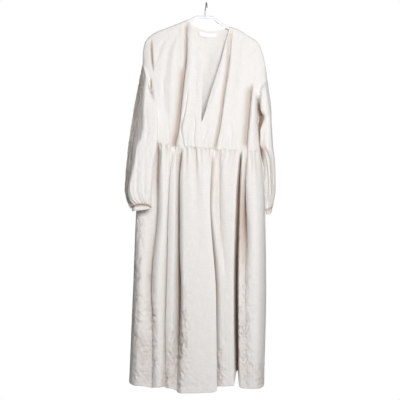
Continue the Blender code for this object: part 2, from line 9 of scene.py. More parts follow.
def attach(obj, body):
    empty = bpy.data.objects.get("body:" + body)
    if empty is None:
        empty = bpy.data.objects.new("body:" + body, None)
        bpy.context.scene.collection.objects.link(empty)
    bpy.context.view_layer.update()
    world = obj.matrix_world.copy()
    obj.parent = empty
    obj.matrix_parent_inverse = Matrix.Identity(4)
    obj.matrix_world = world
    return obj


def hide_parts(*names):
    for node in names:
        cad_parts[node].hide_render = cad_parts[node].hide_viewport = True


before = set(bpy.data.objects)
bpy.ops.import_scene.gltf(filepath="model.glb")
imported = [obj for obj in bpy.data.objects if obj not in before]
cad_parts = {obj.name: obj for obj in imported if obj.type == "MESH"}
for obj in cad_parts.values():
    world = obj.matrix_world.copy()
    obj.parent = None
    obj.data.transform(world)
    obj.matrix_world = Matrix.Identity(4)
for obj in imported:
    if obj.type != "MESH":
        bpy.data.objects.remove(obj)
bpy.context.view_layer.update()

MM = 0.001


# The view
# The dress hangs three metres in front of a level camera. Tables below give widths and heights as
# they read in that front view, in millimetres, and set_back draws nearer cloth in to its real place.
VIEW_DISTANCE = 3000.0
VIEW_CENTRE_X = -24.0
VIEW_CENTRE_Z = -729.0
VIEW_HEIGHT = 1480.0
SENSOR_MM = 36.0


def place_in_scene(name, data):
    """An object linked to the scene, with a mesh, curve, light or camera as its data."""
    placed = bpy.data.objects.new(name, data)
    bpy.context.scene.collection.objects.link(placed)
    return placed


def set_back(points):
    """Real places of points read in the front view: what stands nearer is drawn in."""
    points = np.array(points, float)
    scale = 1.0 + points[..., 1] / VIEW_DISTANCE
    points[..., 0] = VIEW_CENTRE_X + (points[..., 0] - VIEW_CENTRE_X) * scale
    points[..., 2] = VIEW_CENTRE_Z + (points[..., 2] - VIEW_CENTRE_Z) * scale
    return points


camera_data = bpy.data.cameras.new("camera")
camera_data.sensor_width = SENSOR_MM
camera_data.lens = SENSOR_MM * VIEW_DISTANCE / VIEW_HEIGHT
camera = place_in_scene("camera", camera_data)
camera.location = (VIEW_CENTRE_X * MM, -VIEW_DISTANCE * MM, VIEW_CENTRE_Z * MM)
camera.rotation_euler = (math.radians(90), 0, 0)
bpy.context.scene.camera = camera


# The bodice
# Two crossed fronts and a back of undyed cotton and linen, plain woven and washed, cut in one with the
# dropped shoulders. The right front laps over the left one, and both are sewn to the skirt at the waist.
CREAM = "F2F0EE"
CREAM_WARM = "EBE6E1"
# Warm brown that painted shade turns the cloth towards, in folds, creases, pleats and seams
PAINTED_SHADE_BROWN = "AE917D"
THREAD_PITCH_MM = 1.1
SLUB_MM = (38.0, 1.6)
CRUMPLE_MM = 7.0
CLOTH = 0.9
SEAM_GAP = 0.1

# Outline of the pieces as points (x, z), and depth of the front and back at heights. Left and right are those
# of the view for shoulders and sides, and the wearer's for the neck edges.
LEFT_SHOULDER = ((-236, -222), (-234, -174), (-225, -141), (-200, -116), (-135, -88), (-68, -61))
RIGHT_SHOULDER = ((224, -274), (219, -237), (209, -192), (191, -148), (150, -118), (113, -96), (87, -88))
BACK_NECK = ((-68, -61), (-58, -75), (-26, -96), (6, -104), (50, -101), (87, -88))
RIGHT_NECK_EDGE = ((-68, -61), (-60, -82), (-35, -144), (-19, -233), (-13, -303), (-16, -370),
                   (-18, -440), (-9, -492), (18, -540))
LEFT_NECK_EDGE = ((87, -88), (81, -108), (50, -222), (13, -340), (-18, -440), (-44, -492), (-61, -530))
LEFT_SIDE = ((-204, -337), (-203, -396), (-198, -511))
RIGHT_SIDE = ((189, -359), (191, -451), (200, -546))
WAIST_X = (-198, -165, -117, -61, 18, 87, 200)
WAIST_Z = (-511, -519, -529, -531, -540, -544, -546)
DEPTH_Z = (-560, -480, -400, -320, -240, -160, -60)
DEPTH_FRONT = (46, 48, 44, 38, 32, 26, 19)
DEPTH_BACK = (44, 38, 29, 22, 19, 17, 15)

# How the cloth rolls over the shoulder and reaches full depth, where folds start and run out, how armhole and
# sides turn back, how the back stands behind the neck, and how the fronts lap
SHOULDER_ROLL = 6.5
SHOULDER_RISE = 70.0
FOLD_START = 30.0
FOLD_END_EASE = 45.0
ARMHOLE_DEPTH = 40.0
ARMHOLE_SHARE = 0.37
SHOULDER_SHARE = 0.36
SIDE_ROUNDING = 0.36
FRONT_ROUNDING = 0.14
BACK_ROUNDING = 0.17
BODICE_DROP = 440.0
NECK_STAND = 30.0
NECK_RAMP = 3.5
UNDER_LAP = 4.6
LAP_START_X = -110.0
LAP_RUN = 50.0
TOP_EASE = 8
SEAM_EASE = 14.0

# Crumples of the bodice: height, size, and how much longer than wide
FRONT_CRUMPLES = (0.55, 24.0, 2.4)
BACK_CRUMPLES = (0.6, 26.0, 2.2)

# Folds of the bodice: name, heights z and places x of its line, depth, and width to the left and right. Some
# also say how far the right edge hangs over the fold and how strongly shade is painted warm into it. A
# negative depth is a ridge.
FRONT_FOLDS = (
    ("neck fold", (-50, -174, -322, -470, -560), (-71, -70, -84, -100, -121), 20.0, 11.0, 2.4, 5.0, 0.7),
    ("neck fold lip", (-50, -174, -322, -470, -560), (-58, -56, -70, -86, -106), -2.5, 7.0, 9.0),
    ("neck fold low hollow", (-220, -330, -430, -560), (-82, -92, -103, -124), 7.0, 17.0, 6.0, 0.0, 0.5),
    ("second fold", (-310, -403, -466, -500, -550), (-66, -79, -92, -88, -80), 7.0, 4.5, 3.0, 2.0, 0.1),
    ("left neck fold", (-75, -211, -340, -470, -570), (95, 86, 68, 49, 27), 19.0, 10.0, 2.8, 3.0, 0.45),
    ("left edge roll", (-75, -211, -340, -420), (84, 62, 30, 4), -3.0, 10.0, 9.0),
    ("shoulder end fold", (-112, -185, -262), (-206, -203, -197), 12.0, 3.0, 3.0, 0.0, 0.9),
    ("shoulder end small fold", (-268, -300, -336), (-208, -205, -208), 8.0, 2.6, 3.0, 0.0, 0.9),
    ("side fold", (-290, -433, -560), (172, 160, 149), 26.0, 19.0, 3.0, 4.5, 0.5),
    ("side fold ridge", (-300, -433, -560), (184, 172, 160), -2.0, 8.0, 8.0),
    ("chest crease", (-265, -310, -352), (-161, -160, -158), 2.6, 4.0, 4.0),
    ("long soft fold", (-80, -190, -330, -440), (-92, -140, -158, -150), 3.0, 13.0, 11.0),
    ("long soft ridge", (-90, -180, -300, -430), (-110, -122, -130, -128), -3.0, 14.0, 12.0),
    ("shoulder slant", (-110, -160, -230), (-130, -170, -186), 2.6, 10.0, 9.0),
    ("waist pull left", (-420, -480, -530), (-182, -176, -178), 2.4, 5.0, 5.0),
    ("waist pull middle", (-440, -490, -540), (-142, -136, -140), 2.2, 5.0, 4.0),
    ("lap crease", (-396, -451, -500, -545), (-50, -42, -48, -42), 3.6, 4.0, 3.0),
    ("lap point crease", (-440, -481, -522), (6, -2, -17), 3.0, 4.0, 4.0),
    ("left lap soft fold", (-150, -260, -380), (-40, -38, -46), 1.8, 9.0, 9.0),
    ("left front soft ridge", (-120, -260, -420), (140, 128, 112), -3.2, 16.0, 14.0),
    ("left shoulder slant", (-138, -165, -200), (204, 182, 150), 3.0, 8.0, 10.0),
    ("left armhole pull", (-230, -280, -330), (196, 182, 172), 2.4, 6.0, 6.0),
    ("left armhole small pull", (-292, -318, -350), (205, 196, 188), 2.4, 4.0, 4.0),
    ("left waist pull", (-430, -490, -545), (86, 94, 92), 2.4, 6.0, 5.0),
    ("left waist small pull", (-480, -515, -550), (124, 120, 126), 2.0, 4.0, 4.0),
)
BACK_FOLDS = (
    ("right shoulder fold", (-120, -250, -420, -560), (-150, -138, -132, -140), 7.0, 12.0, 9.0),
    ("middle fold", (-340, -400, -480, -560), (-34, -26, -30, -22), 5.0, 14.0, 10.0),
    ("middle ridge", (-160, -320, -500), (2, 8, 4), -3.0, 16.0, 14.0),
    ("left shoulder fold", (-130, -270, -430, -560), (120, 112, 118, 110), 8.0, 10.0, 13.0),
    ("left side fold", (-330, -450, -560), (168, 160, 152), 6.0, 7.0, 9.0),
    ("right side pull", (-340, -430, -520), (-182, -170, -172), 4.0, 7.0, 6.0),
    ("slant across", (-150, -230, -320), (60, 20, -60), 2.4, 12.0, 12.0),
    ("waist pull", (-450, -500, -545), (60, 66, 62), 2.6, 6.0, 5.0),
    ("waist small pull", (-470, -510, -545), (-84, -80, -86), 2.4, 5.0, 5.0),
)


def linear(hex_colour):
    """An sRGB hex colour as linear red, green, blue and alpha."""
    levels = [int(hex_colour[at:at + 2], 16) / 255 for at in (0, 2, 4)]
    return [level / 12.92 if level <= 0.04045 else ((level + 0.055) / 1.055) ** 2.4
            for level in levels] + [1.0]


def add_node(owner, kind, inputs=None, **settings):
    """A node with its settings, whose inputs take plain values or the outputs of other nodes."""
    node = owner.node_tree.nodes.new(kind)
    for name, value in settings.items():
        setattr(node, name, value)
    for name, value in (inputs or {}).items():
        if isinstance(value, bpy.types.NodeSocket):
            owner.node_tree.links.new(value, node.inputs[name])
        else:
            node.inputs[name].default_value = value
    return node


def add_math(material, operation, *values):
    """The output of a sum on values or on other outputs."""
    return add_node(material, "ShaderNodeMath", dict(enumerate(values)), operation=operation).outputs[0]


def add_mix(material, share, first, second):
    """The output of a mix of two colours."""
    return add_node(material, "ShaderNodeMix", {0: share, 6: first, 7: second}, data_type="RGBA").outputs[2]


def add_relief(material, shader, *layers):
    """Relief in layers of height, strength and distance in metres, each laid over the one before."""
    below = {}
    for height, strength, distance in layers:
        bump = add_node(material, "ShaderNodeBump",
                        {"Height": height, "Strength": strength, "Distance": distance, **below})
        below = {"Normal": bump.outputs["Normal"]}
    material.node_tree.links.new(bump.outputs["Normal"], shader.inputs["Normal"])


def cloth_noise(material, cloth_map, width, height, **look):
    """Noise on the cloth in patches of a width and height in millimetres."""
    inputs = {"Vector": cloth_map, "Scale": (1 / width, 1 / height, 1)}
    place = add_node(material, "ShaderNodeMapping", inputs).outputs[0]
    return add_node(material, "ShaderNodeTexNoise", {"Vector": place, "Scale": 1.0, **look}).outputs["Fac"]


def new_material(name, roughness, **sockets):
    """A material with its Principled shader, whose constant values are set on its own sockets."""
    material = bpy.data.materials.new(name)
    material.use_nodes = True
    shader = material.node_tree.nodes["Principled BSDF"]
    shader.inputs["Roughness"].default_value = roughness
    for socket, value in sockets.items():
        shader.inputs[socket.replace("_", " ")].default_value = value
    return material, shader


def washed_cotton_linen():
    """Washed cotton and linen: matt, with thick and thin threads, a fine weave and a crumpled hand. Its
    colour turns brown where shade is painted into it.

    The threads are drawn about twice as coarse as they are, so that the weave still shows close by.
    """
    material, shader = new_material("washed_cotton_linen", 0.88, Sheen_Weight=0.12, Sheen_Roughness=0.6,
                                    Specular_IOR_Level=0.25)
    cloth_map = add_node(material, "ShaderNodeUVMap", uv_map="cloth").outputs["UV"]
    weft = cloth_noise(material, cloth_map, *SLUB_MM, Detail=2.0)
    warp = cloth_noise(material, cloth_map, *SLUB_MM[::-1], Detail=2.0)
    slubs = add_math(material, "ADD", weft, warp)

    place = add_node(material, "ShaderNodeSeparateXYZ", {"Vector": cloth_map})
    threads = []
    for axis in ("X", "Y"):
        turn = add_math(material, "MULTIPLY", place.outputs[axis], math.pi / THREAD_PITCH_MM)
        threads.append(add_math(material, "SINE", turn))
    weave = add_math(material, "MULTIPLY", *threads)

    crumple = cloth_noise(material, cloth_map, CRUMPLE_MM, CRUMPLE_MM / 0.6,
                          Detail=5.0, Roughness=0.62, Distortion=0.6)
    hand = add_node(material, "ShaderNodeAttribute", attribute_name="crumpled")
    crumple = add_math(material, "MULTIPLY", crumple, hand.outputs["Fac"])
    add_relief(material, shader, (crumple, 0.55, 0.0016), (slubs, 0.22, 0.0004), (weave, 0.2, 0.0002))

    spread = add_node(material, "ShaderNodeMapRange", {"Value": slubs, "From Min": 0.75, "From Max": 1.25})
    thread_tone = add_mix(material, spread.outputs[0], linear(CREAM), linear(CREAM_WARM))
    # Painted shade: the hollow attribute mixes the colour towards a warm brown in folds, creases, pleats and
    # seams
    hollow = add_node(material, "ShaderNodeAttribute", attribute_name="hollow")
    tone = add_mix(material, hollow.outputs["Fac"], thread_tone, linear(PAINTED_SHADE_BROWN))
    material.node_tree.links.new(tone, shader.inputs["Base Color"])
    return material


cotton_linen = washed_cotton_linen()


def smooth(value):
    """Ease from 0 to 1."""
    value = np.clip(value, 0.0, 1.0)
    return value * value * (3.0 - 2.0 * value)


def unit(vectors):
    """Vectors at length 1."""
    vectors = np.asarray(vectors, float)
    return vectors / np.maximum(np.linalg.norm(vectors, axis=-1, keepdims=True), 1e-9)


def bell(away, width):
    """1 at no distance, falling off softly to nearly nothing at two widths."""
    return np.exp(-((away / width) ** 2))


def rounded(share):
    """Rise of a quarter circle, from 0 at its steep end to 1."""
    return np.sqrt(np.maximum(0.0, 1 - (1 - np.minimum(1.0, share)) ** 2))


def run_of(points, axis=0):
    """Lengths from the first point to each point, along a line of points or one axis of a grid."""
    steps = np.linalg.norm(np.diff(points, axis=axis), axis=-1)
    start = np.zeros_like(np.take(steps, [0], axis=axis))
    return np.concatenate((start, np.cumsum(steps, axis=axis)), axis=axis)


def cubic(t, width, start, end, start_slope, end_slope):
    """Values on a smooth curve between a start and an end, at shares t of its width."""
    return ((2 * t**3 - 3 * t**2 + 1) * start + (t**3 - 2 * t**2 + t) * width * start_slope
            + (3 * t**2 - 2 * t**3) * end + (t**3 - t**2) * width * end_slope)


def along(points, fractions):
    """Points at fractions of the length of a smooth curve through the given points."""
    points = np.asarray(points, float)
    fractions = np.atleast_1d(np.asarray(fractions, float))
    marks = run_of(points)
    marks = marks / marks[-1]
    slopes = np.gradient(points, marks, axis=0)
    cell = np.clip(np.searchsorted(marks, fractions, side="right") - 1, 0, len(marks) - 2)
    width = (marks[cell + 1] - marks[cell])[:, None]
    t = (fractions - marks[cell])[:, None] / width
    return cubic(t, width, points[cell], points[cell + 1], slopes[cell], slopes[cell + 1])


def through(places, values, where):
    """Smooth values at any places, with no overshoot between the given ones."""
    places = np.asarray(places, float)
    values = np.asarray(values, float)
    where = np.clip(where, places[0], places[-1])
    widths = np.diff(places)
    rises = np.diff(values) / widths
    slopes = np.zeros(len(places))
    slopes[0] = rises[0]
    slopes[-1] = rises[-1]
    both = rises[:-1] * rises[1:]
    total = rises[:-1] + rises[1:]
    slopes[1:-1] = np.where(both > 0, 2 * both / np.where(total == 0, 1, total), 0.0)
    cell = np.clip(np.searchsorted(places, where, side="right") - 1, 0, len(places) - 2)
    t = (where - places[cell]) / widths[cell]
    return cubic(t, widths[cell], values[cell], values[cell + 1], slopes[cell], slopes[cell + 1])


def fold_line(heights, places, z):
    """Place x of a fold at heights z, from its points listed from top to bottom."""
    return through([-height for height in heights], places, -z)


def fold_fade(heights, z):
    """A fold's strength at heights z: it runs out softly at its two ends."""
    ease = min(FOLD_END_EASE, (heights[0] - heights[-1]) / 2.5)
    return smooth((heights[0] - z) / ease) * smooth((z - heights[-1]) / ease)


def folds_push(folds, x, z):
    """How far the folds push the cloth in towards the body, and how strongly shade is painted warm into them.
    """
    push = np.zeros_like(x)
    shade = np.zeros_like(x)
    for _, heights, places, depth, left_width, right_width, *edge in folds:
        line = fold_line(heights, places, z)
        near = fold_fade(heights, z) * bell(x - line, np.where(x < line, left_width, right_width))
        push += depth * near
        if edge:
            shade = np.maximum(shade, edge[1] * near)
    return push, shade


def folds_overhang(folds, x, z):
    """How far the right edges of the folds hang over them, towards -X."""
    shift = np.zeros_like(x)
    for _, heights, places, _, _, right_width, *edge in folds:
        if edge:
            ridge = fold_line(heights, places, z) + right_width
            shift += edge[0] * fold_fade(heights, z) * bell(x - ridge, right_width * 1.5)
    return shift


def grid_normals(grid, closed=False):
    """Outward normals of a grid: columns run anticlockwise seen from above, rows run down."""
    if closed:
        across = np.roll(grid, -1, axis=1) - np.roll(grid, 1, axis=1)
    else:
        across = np.gradient(grid, axis=1)
    return unit(np.cross(np.gradient(grid, axis=0), across))


def crumpling(grid, size, stretch, seed):
    """Fine irregular crumples over a grid, from about -1 to 0.7, sharp along their ridges."""
    heights = []
    for x, y, z in grid.reshape(-1, 3):
        place = Vector((x / size + seed, y / size, z / (size * stretch)))
        bend = noise.noise(place * 0.45 + Vector((9.1, 3.7, 5.2))) * 1.3
        first = noise.noise(place + Vector((bend, bend * 0.6, bend)))
        second = noise.noise(place * 2.1 + Vector((4.0, bend, 8.0)))
        heights.append((1 - 2.6 * abs(first)) * 0.75 + (1 - 2.6 * abs(second)) * 0.3)
    return np.array(heights).reshape(grid.shape[:2]) - 0.35


def creases(grid, size, stretch, seed):
    """Sharp irregular creases over a grid: thin broken valleys, about -1 in a crease and 0 on flat cloth."""
    depths = []
    for x, y, z in grid.reshape(-1, 3):
        place = Vector((x / size + z / size * 0.2 + seed, y / size, z / (size * stretch)))
        bend = noise.noise(place * 0.5 + Vector((2.1, 7.7, 1.2))) * 1.6
        line = noise.noise(place + Vector((bend, bend * 0.5, -bend)))
        other = noise.noise(place * 1.7 + Vector((5.0, -bend, 3.0)))
        strength = max(0.5 + noise.noise(place * 0.6 + Vector((8.0, 1.0, 4.0))), 0.0)
        depths.append(strength * (math.exp(-(line / 0.09) ** 2) + 0.55 * math.exp(-(other / 0.1) ** 2)))
    return -np.array(depths).reshape(grid.shape[:2])


def grid_faces(rows, columns, closed):
    """Faces of a grid whose points are numbered row by row, joined round from last to first if closed."""
    faces = []
    for row in range(rows - 1):
        for column in range(columns if closed else columns - 1):
            a, b = row * columns + column, row * columns + (column + 1) % columns
            faces.append((a, a + columns, b + columns, b))
    return faces


def new_mesh(name, points, faces, surface):
    """A smooth mesh from points in millimetres."""
    mesh = bpy.data.meshes.new(name)
    mesh.from_pydata((np.asarray(points, float) * MM).tolist(), [], faces)
    mesh.materials.append(surface)
    mesh.shade_smooth()
    return mesh


def cloth_piece(name, grid, closed=False, crumpled=0.4, hollow=0.0, thick=CLOTH, surface=cotton_linen):
    """A sewn piece from a grid of its outer points: a thin shell with its weave laid along the cloth and
    painted shade in its colour.
    """
    rows, columns = grid.shape[:2]
    mesh = new_mesh(name, set_back(grid).reshape(-1, 3), grid_faces(rows, columns, closed), surface)

    wide = np.concatenate((grid, grid[:, :1]), axis=1) if closed else grid
    u = run_of(wide, axis=1)
    u -= u[:, -1:] / 2
    v = run_of(wide)
    spans = wide.shape[1] - 1
    row_of = np.repeat(np.arange(rows - 1), spans)
    column_of = np.tile(np.arange(spans), rows - 1)
    corners = []
    for down, over in ((0, 0), (1, 0), (1, 1), (0, 1)):
        spots = (row_of + down, column_of + over)
        corners.append(np.stack((u[spots], v[spots]), axis=1))
    layer = mesh.uv_layers.new(name="cloth")
    layer.data.foreach_set("uv", np.stack(corners, axis=1).astype(np.float32).ravel())
    # How strong the crumpled bumps are, and how much shade is painted into the colour
    for attribute, amount in (("crumpled", crumpled), ("hollow", hollow)):
        values = np.broadcast_to(np.asarray(amount, np.float32), (rows, columns)).ravel()
        mesh.attributes.new(attribute, "FLOAT", "POINT").data.foreach_set("value", values)

    piece = place_in_scene(name, mesh)
    wall = piece.modifiers.new("cloth thickness", "SOLIDIFY")
    wall.thickness = thick * MM
    wall.offset = -1.0
    return piece


def declare(piece, node):
    """Hangs a piece on the one body, in place of its solid."""
    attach(piece, "root")
    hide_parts(node)


def waist_height(x, behind):
    """Height of the waist seam in front of or behind the side seams, drawn up and down by its gathers."""
    uneven = 1.9 * np.sin(x / 6.1) * np.sin(x / 19.0 + 1.0) + 1.5 * np.sin(x / 3.7 + 2.0) * np.sin(x / 31.0)
    if behind:
        return np.interp(x, (WAIST_X[0], WAIST_X[-1]), (WAIST_Z[0], WAIST_Z[-1])) + uneven
    return through(WAIST_X, WAIST_Z, x) + uneven


# Pulls that run up from the gathered waist seam: x, length, half width, depth
WAIST_PULLS = (
    (-190, 26, 3.0, 1.6), (-181, 44, 3.5, 2.2), (-171, 22, 2.5, 1.4), (-164, 36, 3.0, 1.8),
    (-151, 20, 2.5, 1.5), (-141, 50, 3.5, 2.0), (-131, 24, 2.5, 1.6), (-110, 30, 3.0, 1.6),
    (-84, 26, 2.5, 1.8), (-74, 44, 3.0, 2.2), (-60, 20, 2.5, 1.6), (-44, 56, 3.0, 2.2),
    (-33, 22, 2.5, 1.5), (-20, 30, 3.0, 1.8), (-8, 18, 2.5, 1.4), (6, 24, 2.5, 1.8),
    (20, 20, 2.5, 1.6), (38, 30, 3.0, 1.8), (52, 46, 3.0, 2.0), (66, 22, 2.5, 1.6),
    (78, 18, 2.5, 1.4), (92, 36, 3.0, 1.8), (106, 24, 2.5, 1.6), (122, 40, 3.0, 2.0),
    (150, 24, 2.5, 1.6), (166, 48, 3.5, 2.2), (178, 22, 2.5, 1.6), (188, 30, 3.0, 1.8),
)


def waist_pulls(x, z, behind):
    """How far the pulls above the waist seam draw the cloth in."""
    rise = z - waist_height(x, behind)
    push = np.zeros_like(x)
    for place, length, half, depth in WAIST_PULLS:
        place = -place * 0.97 + 3 if behind else place
        lean = place + 0.12 * rise * math.sin(place)
        push += depth * np.exp(-np.maximum(rise, 0.0) / length) * bell(x - lean, half)
    return push * smooth(rise / 4.0 + 0.75)


def body_depth(x, z, drop, edge_depth, inward, rounding, behind):
    """Depth of the bodice: rolled over the hanger at the shoulder, folded, and rounded at the side, with its
    folds' painted shade.
    """
    full = through(DEPTH_Z, DEPTH_BACK if behind else DEPTH_FRONT, z)
    rolled = SHOULDER_ROLL * rounded(drop / SHOULDER_ROLL)
    inner = rolled + (full - SHOULDER_ROLL) * (1.0 - np.exp(-np.maximum(0.0, drop - 2.0) / SHOULDER_RISE))
    push, shade = folds_push(BACK_FOLDS if behind else FRONT_FOLDS, x, z)
    push = push * smooth(drop / FOLD_START) + waist_pulls(x, z, behind)
    inner = np.maximum(SHOULDER_ROLL * smooth(drop / SHOULDER_ROLL), inner - push)
    return edge_depth + (inner - edge_depth) * rounded(inward / rounding), shade * smooth(drop / FOLD_START)


def armhole_point(shoulder, side, share):
    """Points (x, z) on the armhole, which is straight in the front view."""
    share = np.asarray(share, float)[..., None]
    return np.array(shoulder[0], float) * (1 - share) + np.array(side[0], float) * share


def outer_edge(shoulder, side, v):
    """Points (x, z) on a panel's outer edge: the armhole, then the side seam."""
    on_armhole = armhole_point(shoulder, side, np.minimum(1.0, v / ARMHOLE_SHARE))
    on_side = along(side, np.clip((v - ARMHOLE_SHARE) / (1 - ARMHOLE_SHARE), 0, 1))
    return np.where((v <= ARMHOLE_SHARE)[:, None], on_armhole, on_side)


def armhole_depth(share):
    """How far the oval armhole stands off the side at a share of its height."""
    return ARMHOLE_DEPTH * np.sin(math.pi * np.clip(share, 0, 1)) ** 0.8


def blend_edges(top, bottom, first, last, u, v):
    """Grid of points (x, z) inside four edges, whose two sides run down to the ends of the bottom one."""
    first = first + (bottom[0] - first[-1]) * v[:, None] ** 6
    last = last + (bottom[-1] - last[-1]) * v[:, None] ** 6
    u = u[None, :, None]
    v = v[:, None, None]
    corners = (1 - u) * (1 - v) * top[0] + u * (1 - v) * top[-1]
    corners = corners + (1 - u) * v * bottom[0] + u * v * bottom[-1]
    return (1 - v) * top[None] + v * bottom[None] + (1 - u) * first[:, None] + u * last[:, None] - corners


def waist_line(start, end, u, behind):
    """Points (x, z) along the waist seam."""
    x = start + (end - start) * u
    return np.stack((x, waist_height(x, behind)), axis=1)


BODICE_ROWS = np.concatenate((ARMHOLE_SHARE * np.linspace(0, 1, 61) ** 1.6,
                              np.linspace(ARMHOLE_SHARE, 1, 81)[1:]))


def front_grid(shoulder, side, neck_edge, lap):
    """Grid of a front from its outer edge to its neckline edge, and the shade painted warm into its folds."""
    turned = FRONT_ROUNDING * (1 - np.cos(np.linspace(0, math.pi / 2, 24)))
    u = np.concatenate((turned, np.linspace(FRONT_ROUNDING, 1, 131)[1:]))
    v = BODICE_ROWS
    flat = blend_edges(along(shoulder, u), waist_line(side[-1][0], neck_edge[-1][0], u, False),
                       outer_edge(shoulder, side, v), along(neck_edge, v), u, v)
    x, z = flat[..., 0], flat[..., 1]
    rows = np.broadcast_to(v[:, None], x.shape)
    depth, shade = body_depth(x, z, rows * BODICE_DROP, armhole_depth(rows / ARMHOLE_SHARE), u[None, :],
                              FRONT_ROUNDING, False)
    if lap:
        depth = depth + UNDER_LAP * smooth((x - LAP_START_X) / LAP_RUN) * smooth(rows * TOP_EASE)
    x = x - folds_overhang(FRONT_FOLDS, x, z) * smooth(rows * TOP_EASE)
    return np.stack((x, -depth - SEAM_GAP / 2, z), axis=2), shade


def back_grid():
    """Grid of the back from the right armhole to the left one, and the shade painted warm into its folds."""
    turned = BACK_ROUNDING * (1 - np.cos(np.linspace(0, math.pi / 2, 22)))
    half = np.concatenate((turned, np.linspace(BACK_ROUNDING, SHOULDER_SHARE, 26)[1:]))
    ramp = 0.5 - 0.5 * np.cos(np.linspace(0, math.pi, 62)[1:-1])
    neck_share = 1 - 2 * SHOULDER_SHARE
    u = np.concatenate((half, SHOULDER_SHARE + neck_share * ramp, 1 - half[::-1]))
    v = BODICE_ROWS
    right = along(RIGHT_SHOULDER, np.clip(u / SHOULDER_SHARE, 0, 1))
    left = along(LEFT_SHOULDER, np.clip((1 - u) / SHOULDER_SHARE, 0, 1))
    neck = along(BACK_NECK[::-1], np.clip((u - SHOULDER_SHARE) / neck_share, 0, 1))
    across = u[:, None]
    top = np.where(across < SHOULDER_SHARE, right, np.where(across > 1 - SHOULDER_SHARE, left, neck))
    waist = waist_line(RIGHT_SIDE[-1][0], LEFT_SIDE[-1][0], u, True)
    flat = blend_edges(top, waist, outer_edge(RIGHT_SHOULDER, RIGHT_SIDE, v),
                       outer_edge(LEFT_SHOULDER, LEFT_SIDE, v), u, v)
    x, z = flat[..., 0], flat[..., 1]
    rows = np.broadcast_to(v[:, None], x.shape)
    in_neck = np.maximum(0.0, 1.0 - np.abs(u - 0.5) / (0.5 - SHOULDER_SHARE))
    drop = rows * BODICE_DROP + NECK_STAND * smooth(in_neck * NECK_RAMP)[None, :]
    inward = (np.minimum(u, 1 - u) / BACK_ROUNDING * SIDE_ROUNDING)[None, :]
    depth, shade = body_depth(x, z, drop, armhole_depth(rows / ARMHOLE_SHARE), inward, SIDE_ROUNDING, True)
    return np.stack((x, depth + SEAM_GAP / 2, z), axis=2), shade


def edge_ease(grid, reach):
    """How far each point of a grid is from its edges, from 0 on an edge to 1 at a reach in millimetres."""
    down = run_of(grid)
    over = run_of(grid, axis=1)
    nearest = np.minimum(np.minimum(down, down[-1:] - down), np.minimum(over, over[:, -1:] - over))
    return smooth(nearest / reach)


def settle(grid, strength, size, stretch, seed):
    """A grid with fine crumples pressed into it along its normals, still on its seams."""
    lift = crumpling(grid, size, stretch, seed) * strength * edge_ease(grid, SEAM_EASE)
    return grid + grid_normals(grid) * lift[..., None]


bodice = {}
for node, shoulder, side, neck_edge, lap, seed in (
        ("bodice_front_right", LEFT_SHOULDER, LEFT_SIDE, RIGHT_NECK_EDGE, True, 1.0),
        ("bodice_front_left", RIGHT_SHOULDER, RIGHT_SIDE, LEFT_NECK_EDGE, False, 21.0)):
    grid, shade = front_grid(shoulder, side, neck_edge, lap)
    if node == "bodice_front_left":
        grid, shade = grid[:, ::-1].copy(), shade[:, ::-1]
    grid = settle(grid, *FRONT_CRUMPLES, seed)
    bodice[node] = grid
    # The folds' shade is painted into the colour of the fronts
    piece = cloth_piece(node + "_cloth", grid, crumpled=0.35, hollow=shade)
    declare(piece, node)

grid, shade = back_grid()
grid = settle(grid, *BACK_CRUMPLES, 41.0)
bodice["bodice_back"] = grid
piece = cloth_piece("bodice_back_cloth", grid, crumpled=0.35, hollow=shade)
declare(piece, "bodice_back")


# The skirt
# Three long panels of the same cloth, gathered by hand into the waist seam, so they hang in a few deep
# folds with smaller ones between. The right front laps over the left one. The hem is turned up and stitched.
HIP = 0.22
KNEE = 0.6
HEM_TURN = 22.0
COLUMNS_PER_FOLD = 13
FALL_BEND = 1.0
RISE_BEND = 2.3
BACK_BEND = 1.5
SKIRT_ROWS = np.concatenate((np.linspace(0, 0.14, 41), np.linspace(0.14, 0.6, 75)[1:],
                             np.linspace(0.6, 1, 101)[1:]))

# Slope at which a fold's wall is half bent, step of the hem that curves it fully, and shares of the length in
# which a roll runs out and in which the cloth leaves the waist seam
HALF_BENT_SLOPE = 0.3
HEM_STEP = 20
ROLL_EASE = 0.22
WAIST_HOLD = 0.05

# Shade painted into the colour of the deep folds: depth where it starts, and how much deeper it is full
PAINTED_SHADE_START = 5.0
PAINTED_SHADE_REACH = 42.0
# Share of this painted shade that the back keeps
BACK_PAINTED_SHADE = 0.45

# Gathers: how high one is for a height of 1 in its table, how far down it doubles its width, the shade
# painted into the pleats between them, and how far down that reaches
GATHER_HEIGHT = 2.4
GATHER_SPREAD = 90.0
PLEAT_PAINTED_SHADE = 0.34
PLEAT_SHARE = 0.6

# Lines down the skirt: name, x at waist, hip, knee and hem, depth y at hip, knee and hem, height of the hem,
# and sway. Some also say how far the cloth rolls sideways on the way to the next line, over the fold beside
# it, and the share of the skirt's length where that roll has run out.
SKIRT_FRONT_RIGHT = (
    ("side seam", -198, -256, -271, -286, -8, 0, 5, -1399, 0.0),
    ("left lobe", -189, -232, -244, -256, -30, -58, -68, -1417, 2.0),
    ("first fold", -178, -178, -200, -200, -8, -30, -60, -1424, 1.0, -5, 0.85),
    ("second lobe", -160, -161, -178, -180, -62, -72, -78, -1423, 2.0),
    ("thin fold", -126, -133, -144, -154, -38, -40, -58, -1419, 1.0, -8, 0.95),
    ("third lobe", -113, -120, -128, -134, -64, -72, -80, -1426, 1.0),
    ("deep fold", -91, -95, -94, -110, -12, -20, -66, -1436, 1.0, -7, 0.62),
    ("front lobe left", -82, -86, -85, -88, -80, -95, -101, -1445, 0.0),
    ("front lobe dip", -43, -37, -31, -31, -84, -98, -104, -1444, 0.0),
    ("front lobe right", -12, -8, 10, 16, -85, -98, -104, -1442, 0.0),
    ("front edge", 20, 14, 35, 39, -78, -92, -99, -1434, 0.0),
)
